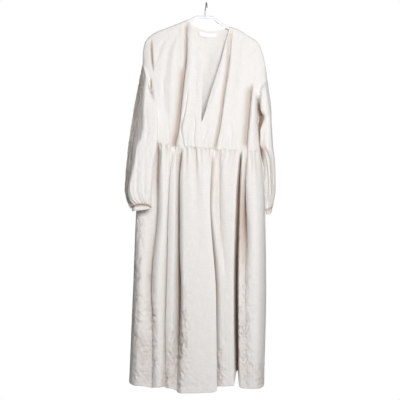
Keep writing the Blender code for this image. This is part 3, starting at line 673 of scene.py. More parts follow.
SKIRT_FRONT_LEFT = (
    ("inner edge", -61, -58, -50, -44, -56, -68, -76, -1432, 0.0),
    ("behind lobe", -24, -20, -9, -2, -56, -68, -76, -1428, 0.0),
    ("edge shadow", 14, 8, 30, 34, -40, -58, -72, -1419, 0.0),
    ("edge lobe", 28, 24, 64, 70, -72, -85, -90, -1419, 0.0),
    ("short fold", 49, 47, 74, 82, -54, -86, -91, -1418, 0.0, -4, 0.36),
    ("middle lobe", 120, 107, 99, 100, -76, -88, -92, -1417, 0.0, -3, 1),
    ("open fold", 131, 120, 114, 116, 0, 14, 28, -1360, 0.0),
    ("inner lobe", 138, 128, 121, 123, -40, -70, -78, -1421, 0.0),
    ("side fold", 149, 149, 143, 150, -28, -68, -85, -1427, 0.0, -8, 0.4),
    ("right lobe", 168, 172, 178, 180, -74, -84, -88, -1428, 1.0),
    ("side seam", 200, 216, 221, 213, -14, 0, 4, -1410, 0.0),
)
SKIRT_BACK = (
    ("side seam", 200, 216, 221, 213, -14, 0, 4, -1410, 0.0),
    ("lobe 1", 170, 182, 190, 183, 34, 58, 66, -1376, 3.0),
    ("fold 1", 146, 156, 158, 151, 26, 30, 42, -1365, 3.0, 6, 0.9),
    ("lobe 2", 117, 117, 119, 113, 64, 78, 86, -1358, 3.0),
    ("fold 2", 80, 76, 74, 69, 42, 44, 48, -1358, 4.0, -7, 0.9),
    ("lobe 3", 43, 35, 36, 30, 66, 80, 90, -1358, 3.0),
    ("fold 3", 4, -1, -5, -10, 44, 46, 48, -1362, 4.0, 6, 0.9),
    ("lobe 4", -37, -42, -46, -53, 62, 76, 86, -1365, 3.0),
    ("fold 4", -76, -77, -84, -92, 42, 42, 48, -1369, 4.0, -7, 0.9),
    ("lobe 5", -109, -116, -123, -134, 60, 72, 82, -1373, 3.0),
    ("fold 5", -141, -152, -165, -178, 34, 36, 44, -1380, 4.0, 7, 0.9),
    ("lobe 6", -172, -200, -212, -226, 36, 58, 66, -1388, 3.0),
    ("side seam", -198, -256, -271, -286, -8, 0, 5, -1399, 0.0),
)

# Small gathers below the waist seam: place x, length down, half width, height
GATHERS_FRONT_RIGHT = (
    (-190, 60, 4, 2.4), (-172, 90, 3, -3.0), (-163, 46, 4, 2.2), (-150, 70, 4, -1.8), (-141, 120, 4, 2.2),
    (-131, 40, 3, -1.6), (-117, 56, 3, 1.8), (-104, 80, 3, -2.2), (-84, 44, 3, 2.0), (-76, 90, 4, -1.6),
    (-66, 50, 3, 2.2), (-57, 30, 3, -1.8), (-43, 150, 5, -5.0), (-33, 60, 4, 2.2), (-24, 40, 3, -1.8),
    (-12, 70, 4, 1.8), (-2, 36, 3, -1.6), (9, 60, 4, -2.2),
)
GATHERS_FRONT_LEFT = (
    (-43, 160, 7, -6.0), (22, 36, 3, 1.8), (38, 70, 3, -2.0), (49, 230, 4, -2.4), (58, 90, 4, 2.4),
    (66, 50, 3, -2.4), (75, 120, 4, 2.0), (86, 60, 4, -2.0), (96, 44, 3, 2.2), (106, 80, 4, -2.2),
    (136, 70, 3, 2.0), (158, 50, 4, 2.2), (165, 90, 3, -3.0), (174, 60, 4, 2.0), (182, 110, 4, -2.6),
    (190, 44, 3, 2.0),
)
GATHERS_BACK = tuple((190 - 12.6 * step + 4 * math.sin(step * 2.3), 55 + 40 * math.sin(step * 1.7) ** 2,
                      3.5 + math.cos(step * 1.1), 2.4 * (-1) ** step) for step in range(31))

# Where the cloth is crumpled from folding: name, x, z, half width, half height, and height of the crumples
CRUMPLES_FRONT = (
    ("low left", -222, -1320, 36, 110, 2.6),
    ("low left side", -262, -1230, 18, 200, 1.6),
    ("first fold", -200, -1120, 18, 150, 1.8),
    ("hem under the thin fold", -150, -1400, 22, 40, 2.0),
    ("low deep fold", -108, -1310, 36, 120, 3.0),
    ("beside the deep fold", -82, -1150, 14, 120, 2.0),
    ("low front lobe", -40, -1400, 60, 30, 1.0),
    ("hem beside the front edge", 52, -1350, 16, 110, 2.2),
    ("beside the open fold", 140, -1180, 20, 260, 2.2),
    ("right hem", 185, -1370, 34, 70, 1.8),
    ("left side", -250, -950, 20, 220, 1.2),
    ("left side upper", -235, -780, 18, 120, 1.0),
)
CRUMPLES_BACK = (
    ("low left", 150, -1260, 70, 150, 1.1),
    ("low middle", -20, -1280, 80, 130, 1.2),
    ("low right", -190, -1240, 60, 160, 1.1),
    ("seat", 40, -760, 80, 110, 1.4),
)
PLAIN_CRUMPLE = 0.45

# Size of the crumples and creases of the skirt, and how much longer than wide they are
SKIRT_CRUMPLE = (14.0, 1.5)
SKIRT_CREASE = (22.0, 1.4)

# How fast crumples and creases grow with the crumpling, how far from the edges and below the waist they are
# full, how far the hem's turn-up stands out, and half width of the dip at its stitches
CRUMPLE_GAIN = 1.25
CREASE_GAIN = 3.8
EDGE_REACH = 10.0
CRUMPLE_START = 60.0
HEM_RISE = 0.5
HEM_STITCH_DIP = 1.6

# Shade painted warm into the first fold and the short fold: strength, half width, height of its foot, and how
# far above that it is full
FIRST_FOLD_X = -177.5
FIRST_FOLD_PAINTED_SHADE = (0.6, 4.5, -770, 150)
SHORT_FOLD_DROP = (550, 730, 920)
SHORT_FOLD_X = (49, 48, 55)
SHORT_FOLD_PAINTED_SHADE = (0.32, 4, -960, 120)

# Shade painted warm on the cloth beside the front edge, where the lapping panel shades it: depths below the
# hook's crown, strength there, how far from the edge it lies, and its half width
EDGE_SHADE_DROP = (550, 590, 680, 760, 820, 960, 1400)
EDGE_SHADE = (0, 0.6, 0.5, 0.1, 0.25, 0.5, 0.35)
EDGE_SHADE_AWAY = 4
EDGE_SHADE_HALF = 8


def skirt_row(table, waist, v, ends):
    """One row of a skirt panel: lobes and folds joined by rolled walls, as x, y and hem height."""
    places = (0.0, HIP, KNEE, 1.0)
    order = np.argsort(waist[:, 0])
    knots = []
    outward = 1 if table[1][5] > 0 else -1
    for index, (_, waist_x, hip_x, knee_x, hem_x, hip_y, knee_y, hem_y, hem_z, sway, *_) in enumerate(table):
        waist_y = np.interp(waist_x, waist[order, 0], waist[order, 1])
        x = through(places, (waist_x, hip_x, knee_x, hem_x), v)
        inward = abs(hip_y) < abs(waist_y)
        y = through(places, (hip_y if inward else waist_y, hip_y, knee_y, hem_y), v)
        x += sway * smooth(v * 6) * math.sin(v * (9 + index % 3 * 2.5) + index * 1.9)
        y += sway * smooth(v * 6) * math.cos(v * (8 + index % 4 * 2.1) + index * 2.7)
        knots.append((float(x), float(y), hem_z))
    parts = []
    last = len(knots) - 2
    for index in range(last + 1):
        (xa, ya, za), (xb, yb, zb) = knots[index], knots[index + 1]
        t = np.arange(COLUMNS_PER_FOLD + (1 if index == last else 0)) / COLUMNS_PER_FOLD
        falls = (yb - ya) * outward < 0
        if index == 0 and ends[0] == "seam":
            across, deep = 1 - np.cos(t * math.pi / 2), np.sin(t * math.pi / 2)
        elif index == last and ends[1] == "seam":
            across, deep = np.sin(t * math.pi / 2), 1 - np.cos(t * math.pi / 2)
        elif index == last:
            across, deep = t, 1 - np.cos(t * math.pi / 2)
        else:
            bend = BACK_BEND if outward > 0 else FALL_BEND if falls else RISE_BEND
            steep = abs(yb - ya) / (abs(xb - xa) + 1e-6)
            bend = 1 + (bend - 1) * steep / (steep + HALF_BENT_SLOPE)
            s = 1 - t if falls else t
            across, deep = s ** bend, np.sin(s * math.pi / 2) ** 1.15
            if falls:
                across, deep = 1 - across, 1 - deep
        tall = 1 + 2.5 * float(smooth((abs(zb - za) - HEM_STEP) / HEM_STEP))
        hem = 1 - (1 - deep) ** tall if falls else deep ** tall
        x = xa + (xb - xa) * across
        if len(table[index]) > 10:
            roll, roll_end = table[index][10:]
            x += roll * np.sin(math.pi * t) ** 2 * smooth(v * 7) * smooth((roll_end - v) / ROLL_EASE)
        parts.append(np.stack((x, ya + (yb - ya) * deep, za + (zb - za) * hem), axis=1))
    return np.concatenate(parts)


def skirt_grid(table, waist, ends, behind, gathers, crumples, seed):
    """Grid of a skirt panel, shade painted by how deep each point lies in its folds, how crumpled it is, and
    more painted shade.

    That shade is painted into the creases where the cloth is crumpled, and into the pleats between the
    gathers.
    """
    order = np.argsort(waist[:, 0])
    rows = []
    for v in SKIRT_ROWS:
        row = skirt_row(table, waist, v, ends)
        x, y, hem = row[:, 0], row[:, 1], row[:, 2]
        held = np.interp(x, waist[order, 0], waist[order, 1])
        y = y + (held - y) * (1 - smooth(v / WAIST_HOLD))
        top = waist_height(x, behind)
        rows.append(np.stack((x, y, top - v * (top - hem)), axis=1))
    grid = np.array(rows)
    side = 1 if behind else -1
    for column, end in zip((0, -1), ends):
        if end == "seam":
            grid[:, column, 1] += SEAM_GAP / 2 * side

    front = grid[..., 1] * -side
    from_left = np.minimum.accumulate(front, axis=1)
    from_right = np.minimum.accumulate(front[:, ::-1], axis=1)[:, ::-1]
    # Shade painted by how far a point lies behind the lobes on its two sides
    hollow = smooth((front - np.maximum(from_left, from_right) - PAINTED_SHADE_START) / PAINTED_SHADE_REACH)

    drop = waist_height(grid[..., 0], behind) - grid[..., 2]
    lift = np.zeros(grid.shape[:2])
    painted_pleat_shade = np.zeros(grid.shape[:2])
    for place, length, half, height in gathers:
        column = np.argmin(np.abs(grid[0, :, 0] - place))
        centre = grid[:, column:column + 1, 0]
        near = bell(grid[..., 0] - centre, half * (1 + drop / GATHER_SPREAD))
        lift += GATHER_HEIGHT * height * np.exp(-drop / length) * smooth(drop / 6.0 + 0.4) * near
        # Shade painted into the pleats between gathers on the fronts
        if height < 0 and not behind:
            painted_pleat_shade = np.maximum(painted_pleat_shade, PLEAT_PAINTED_SHADE * near * np.exp(-drop / (PLEAT_SHARE * length)))

    amount = np.full(grid.shape[:2], PLAIN_CRUMPLE)
    for _, x, z, half_width, half_height, height in crumples:
        amount += height * bell(grid[..., 0] - x, half_width) * bell(grid[..., 2] - z, half_height)
    more = amount - PLAIN_CRUMPLE
    fine = crumpling(grid, *SKIRT_CRUMPLE, seed)
    sharp = creases(grid, *SKIRT_CREASE, seed)
    crumple = fine * (0.5 + more * CRUMPLE_GAIN) + sharp * (amount - 0.35) * CREASE_GAIN
    # Shade painted into the creases and crumple valleys where the cloth is crumpled more
    shade = smooth((amount - 0.8) / 2.0) * np.clip(0.14 - 0.16 * fine - 0.32 * sharp, 0.0, 0.4)

    ease = edge_ease(grid, EDGE_REACH)
    over_turn = grid[-1:, :, 2] - grid[..., 2] + HEM_TURN
    turned = HEM_RISE * smooth((over_turn + 3) / 3.0) - HEM_RISE * bell(over_turn, HEM_STITCH_DIP)
    total = lift * ease + crumple * smooth(drop / CRUMPLE_START) * np.maximum(ease, 0.25) + turned
    hand = np.clip(0.3 + more * 0.9, 0, 3)
    return grid + grid_normals(grid) * total[..., None], hollow, hand, np.maximum(shade, painted_pleat_shade)


def painted_fold_shade(x, z, place, strength, half_width, foot, run_out):
    """Shade painted warm along a fold at a place x, which runs out at its foot."""
    return strength * bell(x - place, half_width) * smooth((z - foot) / run_out)


skirt = {}
for node, table, waist, ends, behind, gathers, crumples, flat, seed in (
        ("skirt_front_right", SKIRT_FRONT_RIGHT, bodice["bodice_front_right"][-1], ("seam", "edge"), False,
         GATHERS_FRONT_RIGHT, CRUMPLES_FRONT, (0.5, 0.93), 3.0),
        ("skirt_front_left", SKIRT_FRONT_LEFT, bodice["bodice_front_left"][-1], ("edge", "seam"), False,
         GATHERS_FRONT_LEFT, CRUMPLES_FRONT, (0.54, 0.9), 33.0),
        ("skirt_back", SKIRT_BACK, bodice["bodice_back"][-1], ("seam", "seam"), True,
         GATHERS_BACK, CRUMPLES_BACK, (0.7, 0.9), 63.0)):
    grid, hollow, crumpled, shade = skirt_grid(table, waist, ends, behind, gathers, crumples, seed)
    skirt[node] = grid
    x, z = grid[..., 0], grid[..., 2]
    # Painted shade of the deep folds: the back keeps a share of it, the fronts most in their deepest folds;
    # then the painted shade of creases and pleats
    hollow = hollow * BACK_PAINTED_SHADE if node == "skirt_back" else np.maximum(hollow * 0.6, hollow ** 3 * 0.9)
    hollow = np.maximum(hollow, shade)
    # Painted shade along the first fold of the right front
    if node == "skirt_front_right":
        hollow = np.maximum(hollow, painted_fold_shade(x, z, FIRST_FOLD_X, *FIRST_FOLD_PAINTED_SHADE))
    if node == "skirt_front_left":
        # Painted shade on the left front beside the lapping front edge, and along its short fold
        lap = skirt["skirt_front_right"][:, -1]
        beyond = x - np.interp(-z, -lap[:, 2], lap[:, 0]) - EDGE_SHADE_AWAY
        painted_edge_shade = np.interp(-z, EDGE_SHADE_DROP, EDGE_SHADE) * bell(beyond, EDGE_SHADE_HALF)
        short_fold = np.interp(-z, SHORT_FOLD_DROP, SHORT_FOLD_X)
        hollow = np.maximum(hollow, painted_edge_shade)
        hollow = np.maximum(hollow, painted_fold_shade(x, z, short_fold, *SHORT_FOLD_PAINTED_SHADE))
    piece = cloth_piece(node + "_cloth", grid, crumpled=crumpled, hollow=hollow)
    declare(piece, node)


# The sleeves
# Balloon sleeves set into the dropped armholes and gathered into narrow elastic cuffs. They hang flat at
# the sides, turned so that the right one shows its shaded outer side and the left one its edge.
SLEEVE_COLUMNS = 132
SLEEVE_ROWS = np.concatenate((np.linspace(0, 0.8, 96), np.linspace(0.8, 1, 56)[1:]))

# Sections of the sleeves: height, then corners (x, y) round them, from the -X side over the front to the
# +X side and back. The right sleeve has a ridge between its shaded flank and its front, and the left one a
# hollow inner side. The front half of the columns ends at the corner numbered OUTER_CORNER.
OUTER_CORNER = 3
RIGHT_SLEEVE = (
    (-398, (-270, 14), (-233, -54), (-190, -56), (-181, -51), (-208, -14), (-212, 10), (-252, 28)),
    (-451, (-278, 10), (-233, -62), (-188, -62), (-178, -54), (-207, -16), (-211, 4), (-258, 24)),
    (-492, (-284, 4), (-240, -67), (-189, -67), (-180, -56), (-206, -22), (-210, -4), (-261, 18)),
    (-533, (-290, -4), (-258, -73), (-192, -73), (-184, -61), (-206, -34), (-210, -16), (-264, 10)),
    (-592, (-296, -16), (-265, -80), (-202, -80), (-194, -68), (-206, -46), (-212, -34), (-268, -4)),
    (-645, (-300, -26), (-278, -86), (-207, -86), (-199, -72), (-207, -54), (-215, -44), (-270, -16)),
    (-690, (-302, -34), (-286, -89), (-210, -89), (-202, -74), (-208, -56), (-218, -46), (-268, -26)),
    (-728, (-293, -44), (-284, -86), (-213, -87), (-203, -72), (-209, -54), (-219, -44), (-262, -34)),
    (-757, (-278, -60), (-269, -78), (-216, -80), (-205, -64), (-209, -54), (-219, -46), (-263, -44)),
)
LEFT_SLEEVE = (
    (-392, (187, 40), (202, -30), (230, -38), (240, -10), (238, 36), (205, 50)),
    (-426, (186, 44), (217, -24), (236, -34), (241, -8), (238, 44), (206, 56)),
    (-450, (186, 45), (207, -26), (236, -34), (242, -6), (239, 48), (207, 58)),
    (-478, (187, 46), (198, -24), (238, -34), (244, -6), (240, 52), (208, 60)),
    (-522, (189, 46), (197, -20), (240, -30), (246, -2), (243, 62), (212, 66)),
    (-552, (193, 47), (204, -4), (245, -28), (250, 2), (246, 68), (216, 72)),
    (-581, (197, 48), (213, 10), (249, -26), (254, 4), (248, 74), (222, 78)),
    (-640, (202, 54), (218, 26), (251, -18), (256, 8), (250, 84), (228, 86)),
    (-692, (206, 58), (221, 32), (251, -12), (256, 12), (251, 88), (230, 88)),
    (-740, (214, 54), (224, 36), (243, 4), (249, 26), (244, 80), (228, 80)),
    (-764, (219, 48), (222, 34), (235, 17), (243, 42), (238, 70), (225, 72)),
)
CUFF_THICK = 2.0
RIGHT_TILT = 0.35
LEFT_TILT = 0.0

# Each cuff: how far its seam rises and its lower edge drops at its -X side, middle and +X side, how much
# narrower it is than the sleeve's end on each side, and how strongly shade is painted warm at its seam
RIGHT_CUFF = ((0.0, 6.0, 0.0), (16.5, 12.8, 7.5), 3.0, 1.0)
LEFT_CUFF = ((-4.0, 1.0, 8.0), (19.0, 21.0, 10.0), 1.0, 0.5)
CUFF_ROWS = 13
# Rows at the top of a cuff with shade painted on them
CUFF_PAINTED_SHADE_ROWS = 6
ELASTIC_RIPPLES = 33
ELASTIC_RIPPLE = 0.55
ELASTIC_BULGE = 1.0

# Crumples and creases of the sleeves: size, and how much longer than wide
SLEEVE_CRUMPLE = (15.0, 2.0)
SLEEVE_CREASE = (22.0, 2.2)

# The flank of a sleeve, which is crumpled more and has shade painted on it: its angle and half width in
# degrees, and how much more
FLANK_ANGLE = 30.0
FLANK_HALF = 34.0
FLANK_CRUMPLE = 1.2
FLANK_CREASE = 2.2

# Gathers above the cuff, drawn at random: degrees to the next one, share of the sleeve's length, and height
GATHER_STEP = (8, 24)
GATHER_LENGTH = (0.07, 0.26)
GATHER_RISE = (1.6, 4.6)

# Long soft folds of a sleeve: angle round it, share of its length where it starts and ends, depth, and half
# width in degrees. Angle 0 is the -X side and 90 the front.
RIGHT_SLEEVE_FOLDS = (
    (20, 0.1, 0.75, 1.6, 7), (40, 0.3, 0.95, 1.6, 6), (96, 0.45, 0.9, 2.0, 7), (118, 0.2, 0.6, 1.6, 6),
    (106, 0.7, 1.1, 2.6, 6), (138, 0.6, 1.0, 2.0, 6), (205, 0.1, 0.9, 3.5, 11), (250, 0.2, 0.8, 4.0, 12),
    (300, 0.1, 0.95, 3.5, 10), (335, 0.3, 1.1, 3.0, 9),
)
LEFT_SLEEVE_FOLDS = (
    (40, 0.05, 0.8, 3.0, 10), (75, 0.1, 0.9, 2.5, 9), (100, 0.3, 1.1, 4.5, 7), (125, 0.05, 0.6, 4.0, 8),
    (150, 0.3, 0.9, 2.5, 9), (190, 0.2, 1.0, 3.0, 11), (235, 0.1, 0.8, 3.5, 12), (280, 0.2, 0.9, 3.0, 10),
    (325, 0.1, 0.9, 2.5, 10),
)


def armhole_ring(shoulder, side, angles):
    """Top edge of a sleeve, round its armhole."""
    share = np.where(angles <= math.pi, angles / math.pi, 2 - angles / math.pi)
    if shoulder[0][0] > 0:
        share = 1 - share
    flat = armhole_point(shoulder, side, share)
    y = armhole_depth(share) * np.where(angles > math.pi, 1, -1)
    run = unit(np.array((side[0][0] - shoulder[0][0], 0.0, side[0][1] - shoulder[0][1])))
    out = unit(np.array((-abs(run[2]) if shoulder[0][0] < 0 else abs(run[2]), 0.0, -abs(run[0]))))
    return np.stack((flat[:, 0], y, flat[:, 1]), axis=1) + out * SEAM_GAP


def sleeve_section(corners):
    """Points (x, y) round a sleeve: its corners joined and softly rounded, its two sides kept in place."""
    corners = np.asarray(corners, float)
    half = SLEEVE_COLUMNS // 2
    shares = np.arange(half) / half
    loop = []
    for chain in (corners[:OUTER_CORNER + 1], np.concatenate((corners[OUTER_CORNER:], corners[:1]))):
        marks = run_of(chain)
        marks = marks / marks[-1]
        loop.append(np.stack([np.interp(shares, marks, chain[:, axis]) for axis in (0, 1)], axis=1))
    loop = np.concatenate(loop)
    for _ in range(9):
        loop = (np.roll(loop, 1, axis=0) + 2 * loop + np.roll(loop, -1, axis=0)) / 4
    reach = (corners[:, 0].min(), corners[:, 0].max())
    loop[:, 0] = np.interp(loop[:, 0], (loop[:, 0].min(), loop[:, 0].max()), reach)
    return loop


def share_across(points):
    """Share of each point's way from the -X side of a section to its +X side."""
    return (points[:, 0] - points[:, 0].min()) / np.ptp(points[:, 0])


def turn_from(angle, turn):
    """Degrees from an angle to a turn round the sleeve, from -180 to 180."""
    return (turn - angle + 180) % 360 - 180


def sleeve_grid(shoulder, side, table, folds, tilt, rise, seed):
    """Grid of a balloon sleeve from armhole to cuff, its last section, and the shade painted warm on its
    flank.
    """
    angles = np.linspace(0, 2 * math.pi, SLEEVE_COLUMNS, endpoint=False)
    sections = [armhole_ring(shoulder, side, angles)]
    for down, row in zip(np.linspace(0, 1, len(table)), table):
        loop = sleeve_section(row[1:])
        z = row[0] - (loop[:, 1] - loop[:, 1].mean()) * tilt * smooth((down - 0.55) / 0.45)
        z = z + through((0, 0.5, 1), rise, share_across(loop)) * smooth((down - 0.85) / 0.15)
        sections.append(np.column_stack((loop, z)))
    sections = np.array(sections)
    marks = run_of(sections.mean(axis=1))
    grid = np.empty((len(SLEEVE_ROWS), SLEEVE_COLUMNS, 3))
    for column in range(SLEEVE_COLUMNS):
        for axis in range(3):
            grid[:, column, axis] = through(marks, sections[:, column, axis], marks[-1] * SLEEVE_ROWS)

    share = SLEEVE_ROWS[:, None]
    turn = np.degrees(angles)[None, :]
    lift = np.zeros(grid.shape[:2])
    for angle, start, end, depth, half in folds:
        fade = smooth((share - start) / 0.12) * smooth((end - share) / 0.15)
        lift -= depth * fade * bell(turn_from(angle + 6 * np.sin(share * 7 + angle), turn), half)
    chance = np.random.default_rng(int(seed))
    angle = 0.0
    while angle < 360:
        step = chance.uniform(*GATHER_STEP)
        length = chance.uniform(*GATHER_LENGTH)
        height = chance.uniform(*GATHER_RISE)
        near = bell(turn_from(angle + 8 * (1 - share), turn), step * 0.22)
        lift += height * smooth((share - 1 + length) / length) * (near - 0.4 * step / 360)
        angle += step
    lift *= smooth(share / 0.04)

    flank = bell(turn_from(FLANK_ANGLE, turn), FLANK_HALF)
    strength = 0.5 + 0.5 * smooth((share - 0.15) / 0.3) + FLANK_CRUMPLE * flank
    crumple = crumpling(grid, *SLEEVE_CRUMPLE, seed) * strength
    crumple += creases(grid, *SLEEVE_CREASE, seed) * (0.5 + FLANK_CREASE * flank)
    held = smooth(share / 0.03) * smooth((1 - share) / 0.03)
    # Shade painted on the flank, which turns away from the light, darker in its crumples
    shade = flank * np.clip(0.42 - 0.2 * crumple, 0.0, 0.6) * smooth(share / 0.06)
    return grid + grid_normals(grid, closed=True) * (lift + crumple * held)[..., None], sections[-1], shade


def cuff_grid(end, drops, inset, strength):
    """Grid of a narrow elastic cuff below a sleeve's last section, rippled by its elastic, and the shade
    painted on it.
    """
    out = unit((end - end.mean(axis=0)) * (1, 1, 0))
    ring = end - out * inset
    angles = np.linspace(0, 2 * math.pi, len(end), endpoint=False)
    low = end[:, 2].mean() - through((0, 0.5, 1), drops, share_across(end))
    wave = ELASTIC_RIPPLE * np.sin(ELASTIC_RIPPLES * angles + 1.2 * np.sin(5 * angles))
    rows = []
    for part in np.linspace(0, 1, CUFF_ROWS):
        bulge = ELASTIC_BULGE * math.sin(math.pi * part) + wave * (0.6 + 0.4 * math.cos(math.pi * part))
        row = ring + out * bulge[:, None]
        row[:, 2] = (end[:, 2] - SEAM_GAP) * (1 - part) + low * part
        rows.append(row)
    # Shade painted on the top rows, under the sleeve's puff at the seam
    shade = np.zeros((CUFF_ROWS, len(end)))
    shade[:CUFF_PAINTED_SHADE_ROWS] = strength * np.linspace(1.0, 0.1, CUFF_PAINTED_SHADE_ROWS)[:, None]
    return np.array(rows), shade


def painted_inner_shade(grid):
    """Shade painted warm on the hollow inner side of the left sleeve, where it faces the skirt."""
    x, y, z = grid[..., 0], grid[..., 1], grid[..., 2]
    shade = 1.2 * bell(x - 198, 18) * smooth((y + 24) / 14) * smooth((34 - y) / 18)
    return np.minimum(shade, 1) * smooth((-360 - z) / 20) * smooth((z + 600) / 60)


cuffs = {}
for name, shoulder, side, table, folds, tilt, cuff, seed in (
        ("right", LEFT_SHOULDER, LEFT_SIDE, RIGHT_SLEEVE, RIGHT_SLEEVE_FOLDS, RIGHT_TILT, RIGHT_CUFF, 5.0),
        ("left", RIGHT_SHOULDER, RIGHT_SIDE, LEFT_SLEEVE, LEFT_SLEEVE_FOLDS, LEFT_TILT, LEFT_CUFF, 15.0)):
    grid, end, flank = sleeve_grid(shoulder, side, table, folds, tilt, cuff[0], seed)
    # Shade painted on the sleeve's last rows under its puff at the cuff seam, and on the right sleeve's flank
    # or the left sleeve's hollow inner side
    hollow = np.broadcast_to(smooth((SLEEVE_ROWS[:, None] - 0.98) / 0.018) * 0.6, grid.shape[:2])
    hollow = np.maximum(hollow, flank if name == "right" else painted_inner_shade(grid))
    piece = cloth_piece("sleeve_" + name + "_cloth", grid, closed=True, crumpled=0.7, hollow=hollow)
    declare(piece, "sleeve_" + name)
    grid, shade = cuff_grid(end, *cuff[1:])
    cuffs[name] = grid
    piece = cloth_piece("cuff_" + name + "_cloth", grid, closed=True, crumpled=0.3, hollow=shade,
                        thick=CUFF_THICK)
    declare(piece, "cuff_" + name)


# The neck label
# A blank label of white satin tape, bowed a little between its ends and sewn inside the back neck.
LABEL_WHITE = "F3F3F4"
LABEL_WIDTH = (-28.0, 38.0)
LABEL_DROP = (7.0, 25.0)
LABEL_OFF = 1.2
LABEL_THICK = 0.5
LABEL_BOW = 0.5
LABEL_ROWS = 9
LABEL_COLUMNS = 34


def satin_tape():
    """White satin tape: smooth and slightly glossy, with fine ribs along the tape."""
    material, shader = new_material("satin_tape", 0.42, Sheen_Weight=0.3, Base_Color=linear(LABEL_WHITE))
    cloth_map = add_node(material, "ShaderNodeUVMap", uv_map="cloth").outputs["UV"]
    ribs = add_node(material, "ShaderNodeTexWave", {"Vector": cloth_map, "Scale": 0.6, "Distortion": 0.4},
                    bands_direction="Y")
    add_relief(material, shader, (ribs.outputs["Fac"], 0.25, 0.0002))
    return material


back = bodice["bodice_back"]
inside = (back - grid_normals(back) * (CLOTH + LABEL_OFF))[:, ::-1]
drops = run_of(inside[:, (inside.shape[1] - 1) // 2])
spots = np.linspace(*LABEL_WIDTH, LABEL_COLUMNS)
label_grid = []
for drop in np.linspace(*LABEL_DROP, LABEL_ROWS):
    line = np.array([[np.interp(drop, drops, column[:, axis]) for axis in range(3)]
                     for column in np.swapaxes(inside, 0, 1)])
    label_grid.append(np.stack([np.interp(spots, line[:, 0], line[:, axis]) for axis in range(3)], axis=1))
label_grid = np.array(label_grid)
label_grid[..., 1] -= LABEL_BOW * np.sin(np.linspace(0, math.pi, LABEL_COLUMNS))[None, :] ** 2
piece = cloth_piece("neck_label_tape", label_grid, thick=LABEL_THICK, surface=satin_tape())
declare(piece, "neck_label")


# The hanger
# A flat hanger moulded in white plastic: a short level bar, two sloping arms under the shoulders, and a
# short stem that holds the hook. Its edges are rounded by the mould.
PLASTIC_WHITE = "DCDCE2"
HANGER_TOP = ((-196, -118), (-135, -92.2), (-70, -66.4), (-38, -47), (26, -49), (48, -69), (86, -91.3),
              (135, -113.5), (181, -146))
HANGER_BAR = 9.0
HANGER_HALF_THICK = 2.5
HANGER_SIDES = 28
HANGER_BEND = 5.0
HANGER_BEND_STEPS = 7
HANGER_SQUARENESS = (0.45, 0.55)
STEM_X = -4.8
STEM_TOP = -29.0
STEM_SIDES = 32

# Rounded ends of the hanger: size of the section, and how far in from the tip it stands
HANGER_END = ((0.55, 0.0), (0.85, 0.5), (1.0, 1.6))

# The stem's outline from its foot up: radius and height
STEM_PROFILE = ((0.0, -52.0), (3.3, -52.0), (3.1, -46.0), (2.7, -44.0), (2.6, -33.5), (3.0, -32.5),
                (3.0, -30.6), (2.6, -29.4), (0.0, STEM_TOP))


def grained_material(name, colour, roughness, grain, detail, strength, distance, **sockets):
    """A material of one colour with an even grain, finer with a larger grain number."""
    material, shader = new_material(name, roughness, Base_Color=linear(colour), **sockets)
    place = add_node(material, "ShaderNodeTexCoord").outputs["Object"]
    height = add_node(material, "ShaderNodeTexNoise", {"Vector": place, "Scale": grain, "Detail": detail})
    add_relief(material, shader, (height.outputs["Fac"], strength, distance))
    return material


def rounded_path(points, cut, steps):
    """The path with each corner turned into a small arc that starts a cut away from it."""
    path = [points[0]]
    for before, corner, after in zip(points[:-2], points[1:-1], points[2:]):
        start = corner + unit(before - corner) * cut
        end = corner + unit(after - corner) * cut
        for t in np.linspace(0, 1, steps):
            path.append((1 - t) ** 2 * start + 2 * t * (1 - t) * corner + t * t * end)
    path.append(points[-1])
    return np.array(path)


def tube_faces(rings, sides, start=0):
    """Faces round a tube of rings of points, which are numbered ring by ring from a start."""
    return [tuple(start + corner for corner in reversed(face)) for face in grid_faces(rings, sides, True)]


# Moulded polystyrene: even and glossy, with very slight waves from the mould
white_plastic = grained_material("moulded_white_plastic", PLASTIC_WHITE, 0.28, 60.0, 2.0, 0.08, 0.0005)

top = np.array(HANGER_TOP, float)
slopes = unit(np.gradient(top, axis=0))
middle_line = top + np.stack((slopes[:, 1], -slopes[:, 0]), axis=1) * HANGER_BAR / 2
path = rounded_path(middle_line, HANGER_BEND, HANGER_BEND_STEPS)
slopes = unit(np.gradient(path, axis=0))
angles = np.linspace(0, 2 * math.pi, HANGER_SIDES, endpoint=False)
section = np.stack([np.sign(wave) * np.abs(wave) ** power * size for wave, power, size in zip(
    (np.cos(angles), np.sin(angles)), HANGER_SQUARENESS, (HANGER_BAR / 2, HANGER_HALF_THICK))], axis=1)
rings = [(spot, way, 1.0, 0.0) for spot, way in zip(path[1:-1], slopes[1:-1])]
rings = ([(path[0], slopes[0], scale, shift) for scale, shift in HANGER_END] + rings
         + [(path[-1], slopes[-1], scale, -shift) for scale, shift in reversed(HANGER_END)])
points = []
for spot, way, scale, shift in rings:
    x, z = spot + way * shift
    points += [(x - way[1] * a * scale, b * scale, z + way[0] * a * scale) for a, b in section]
faces = tube_faces(len(rings), HANGER_SIDES)
faces.append(tuple(reversed(range(HANGER_SIDES))))
faces.append(tuple(range(len(points) - HANGER_SIDES, len(points))))
piece = place_in_scene("hanger_body", new_mesh("hanger_body", points, faces, white_plastic))
declare(piece, "hanger")

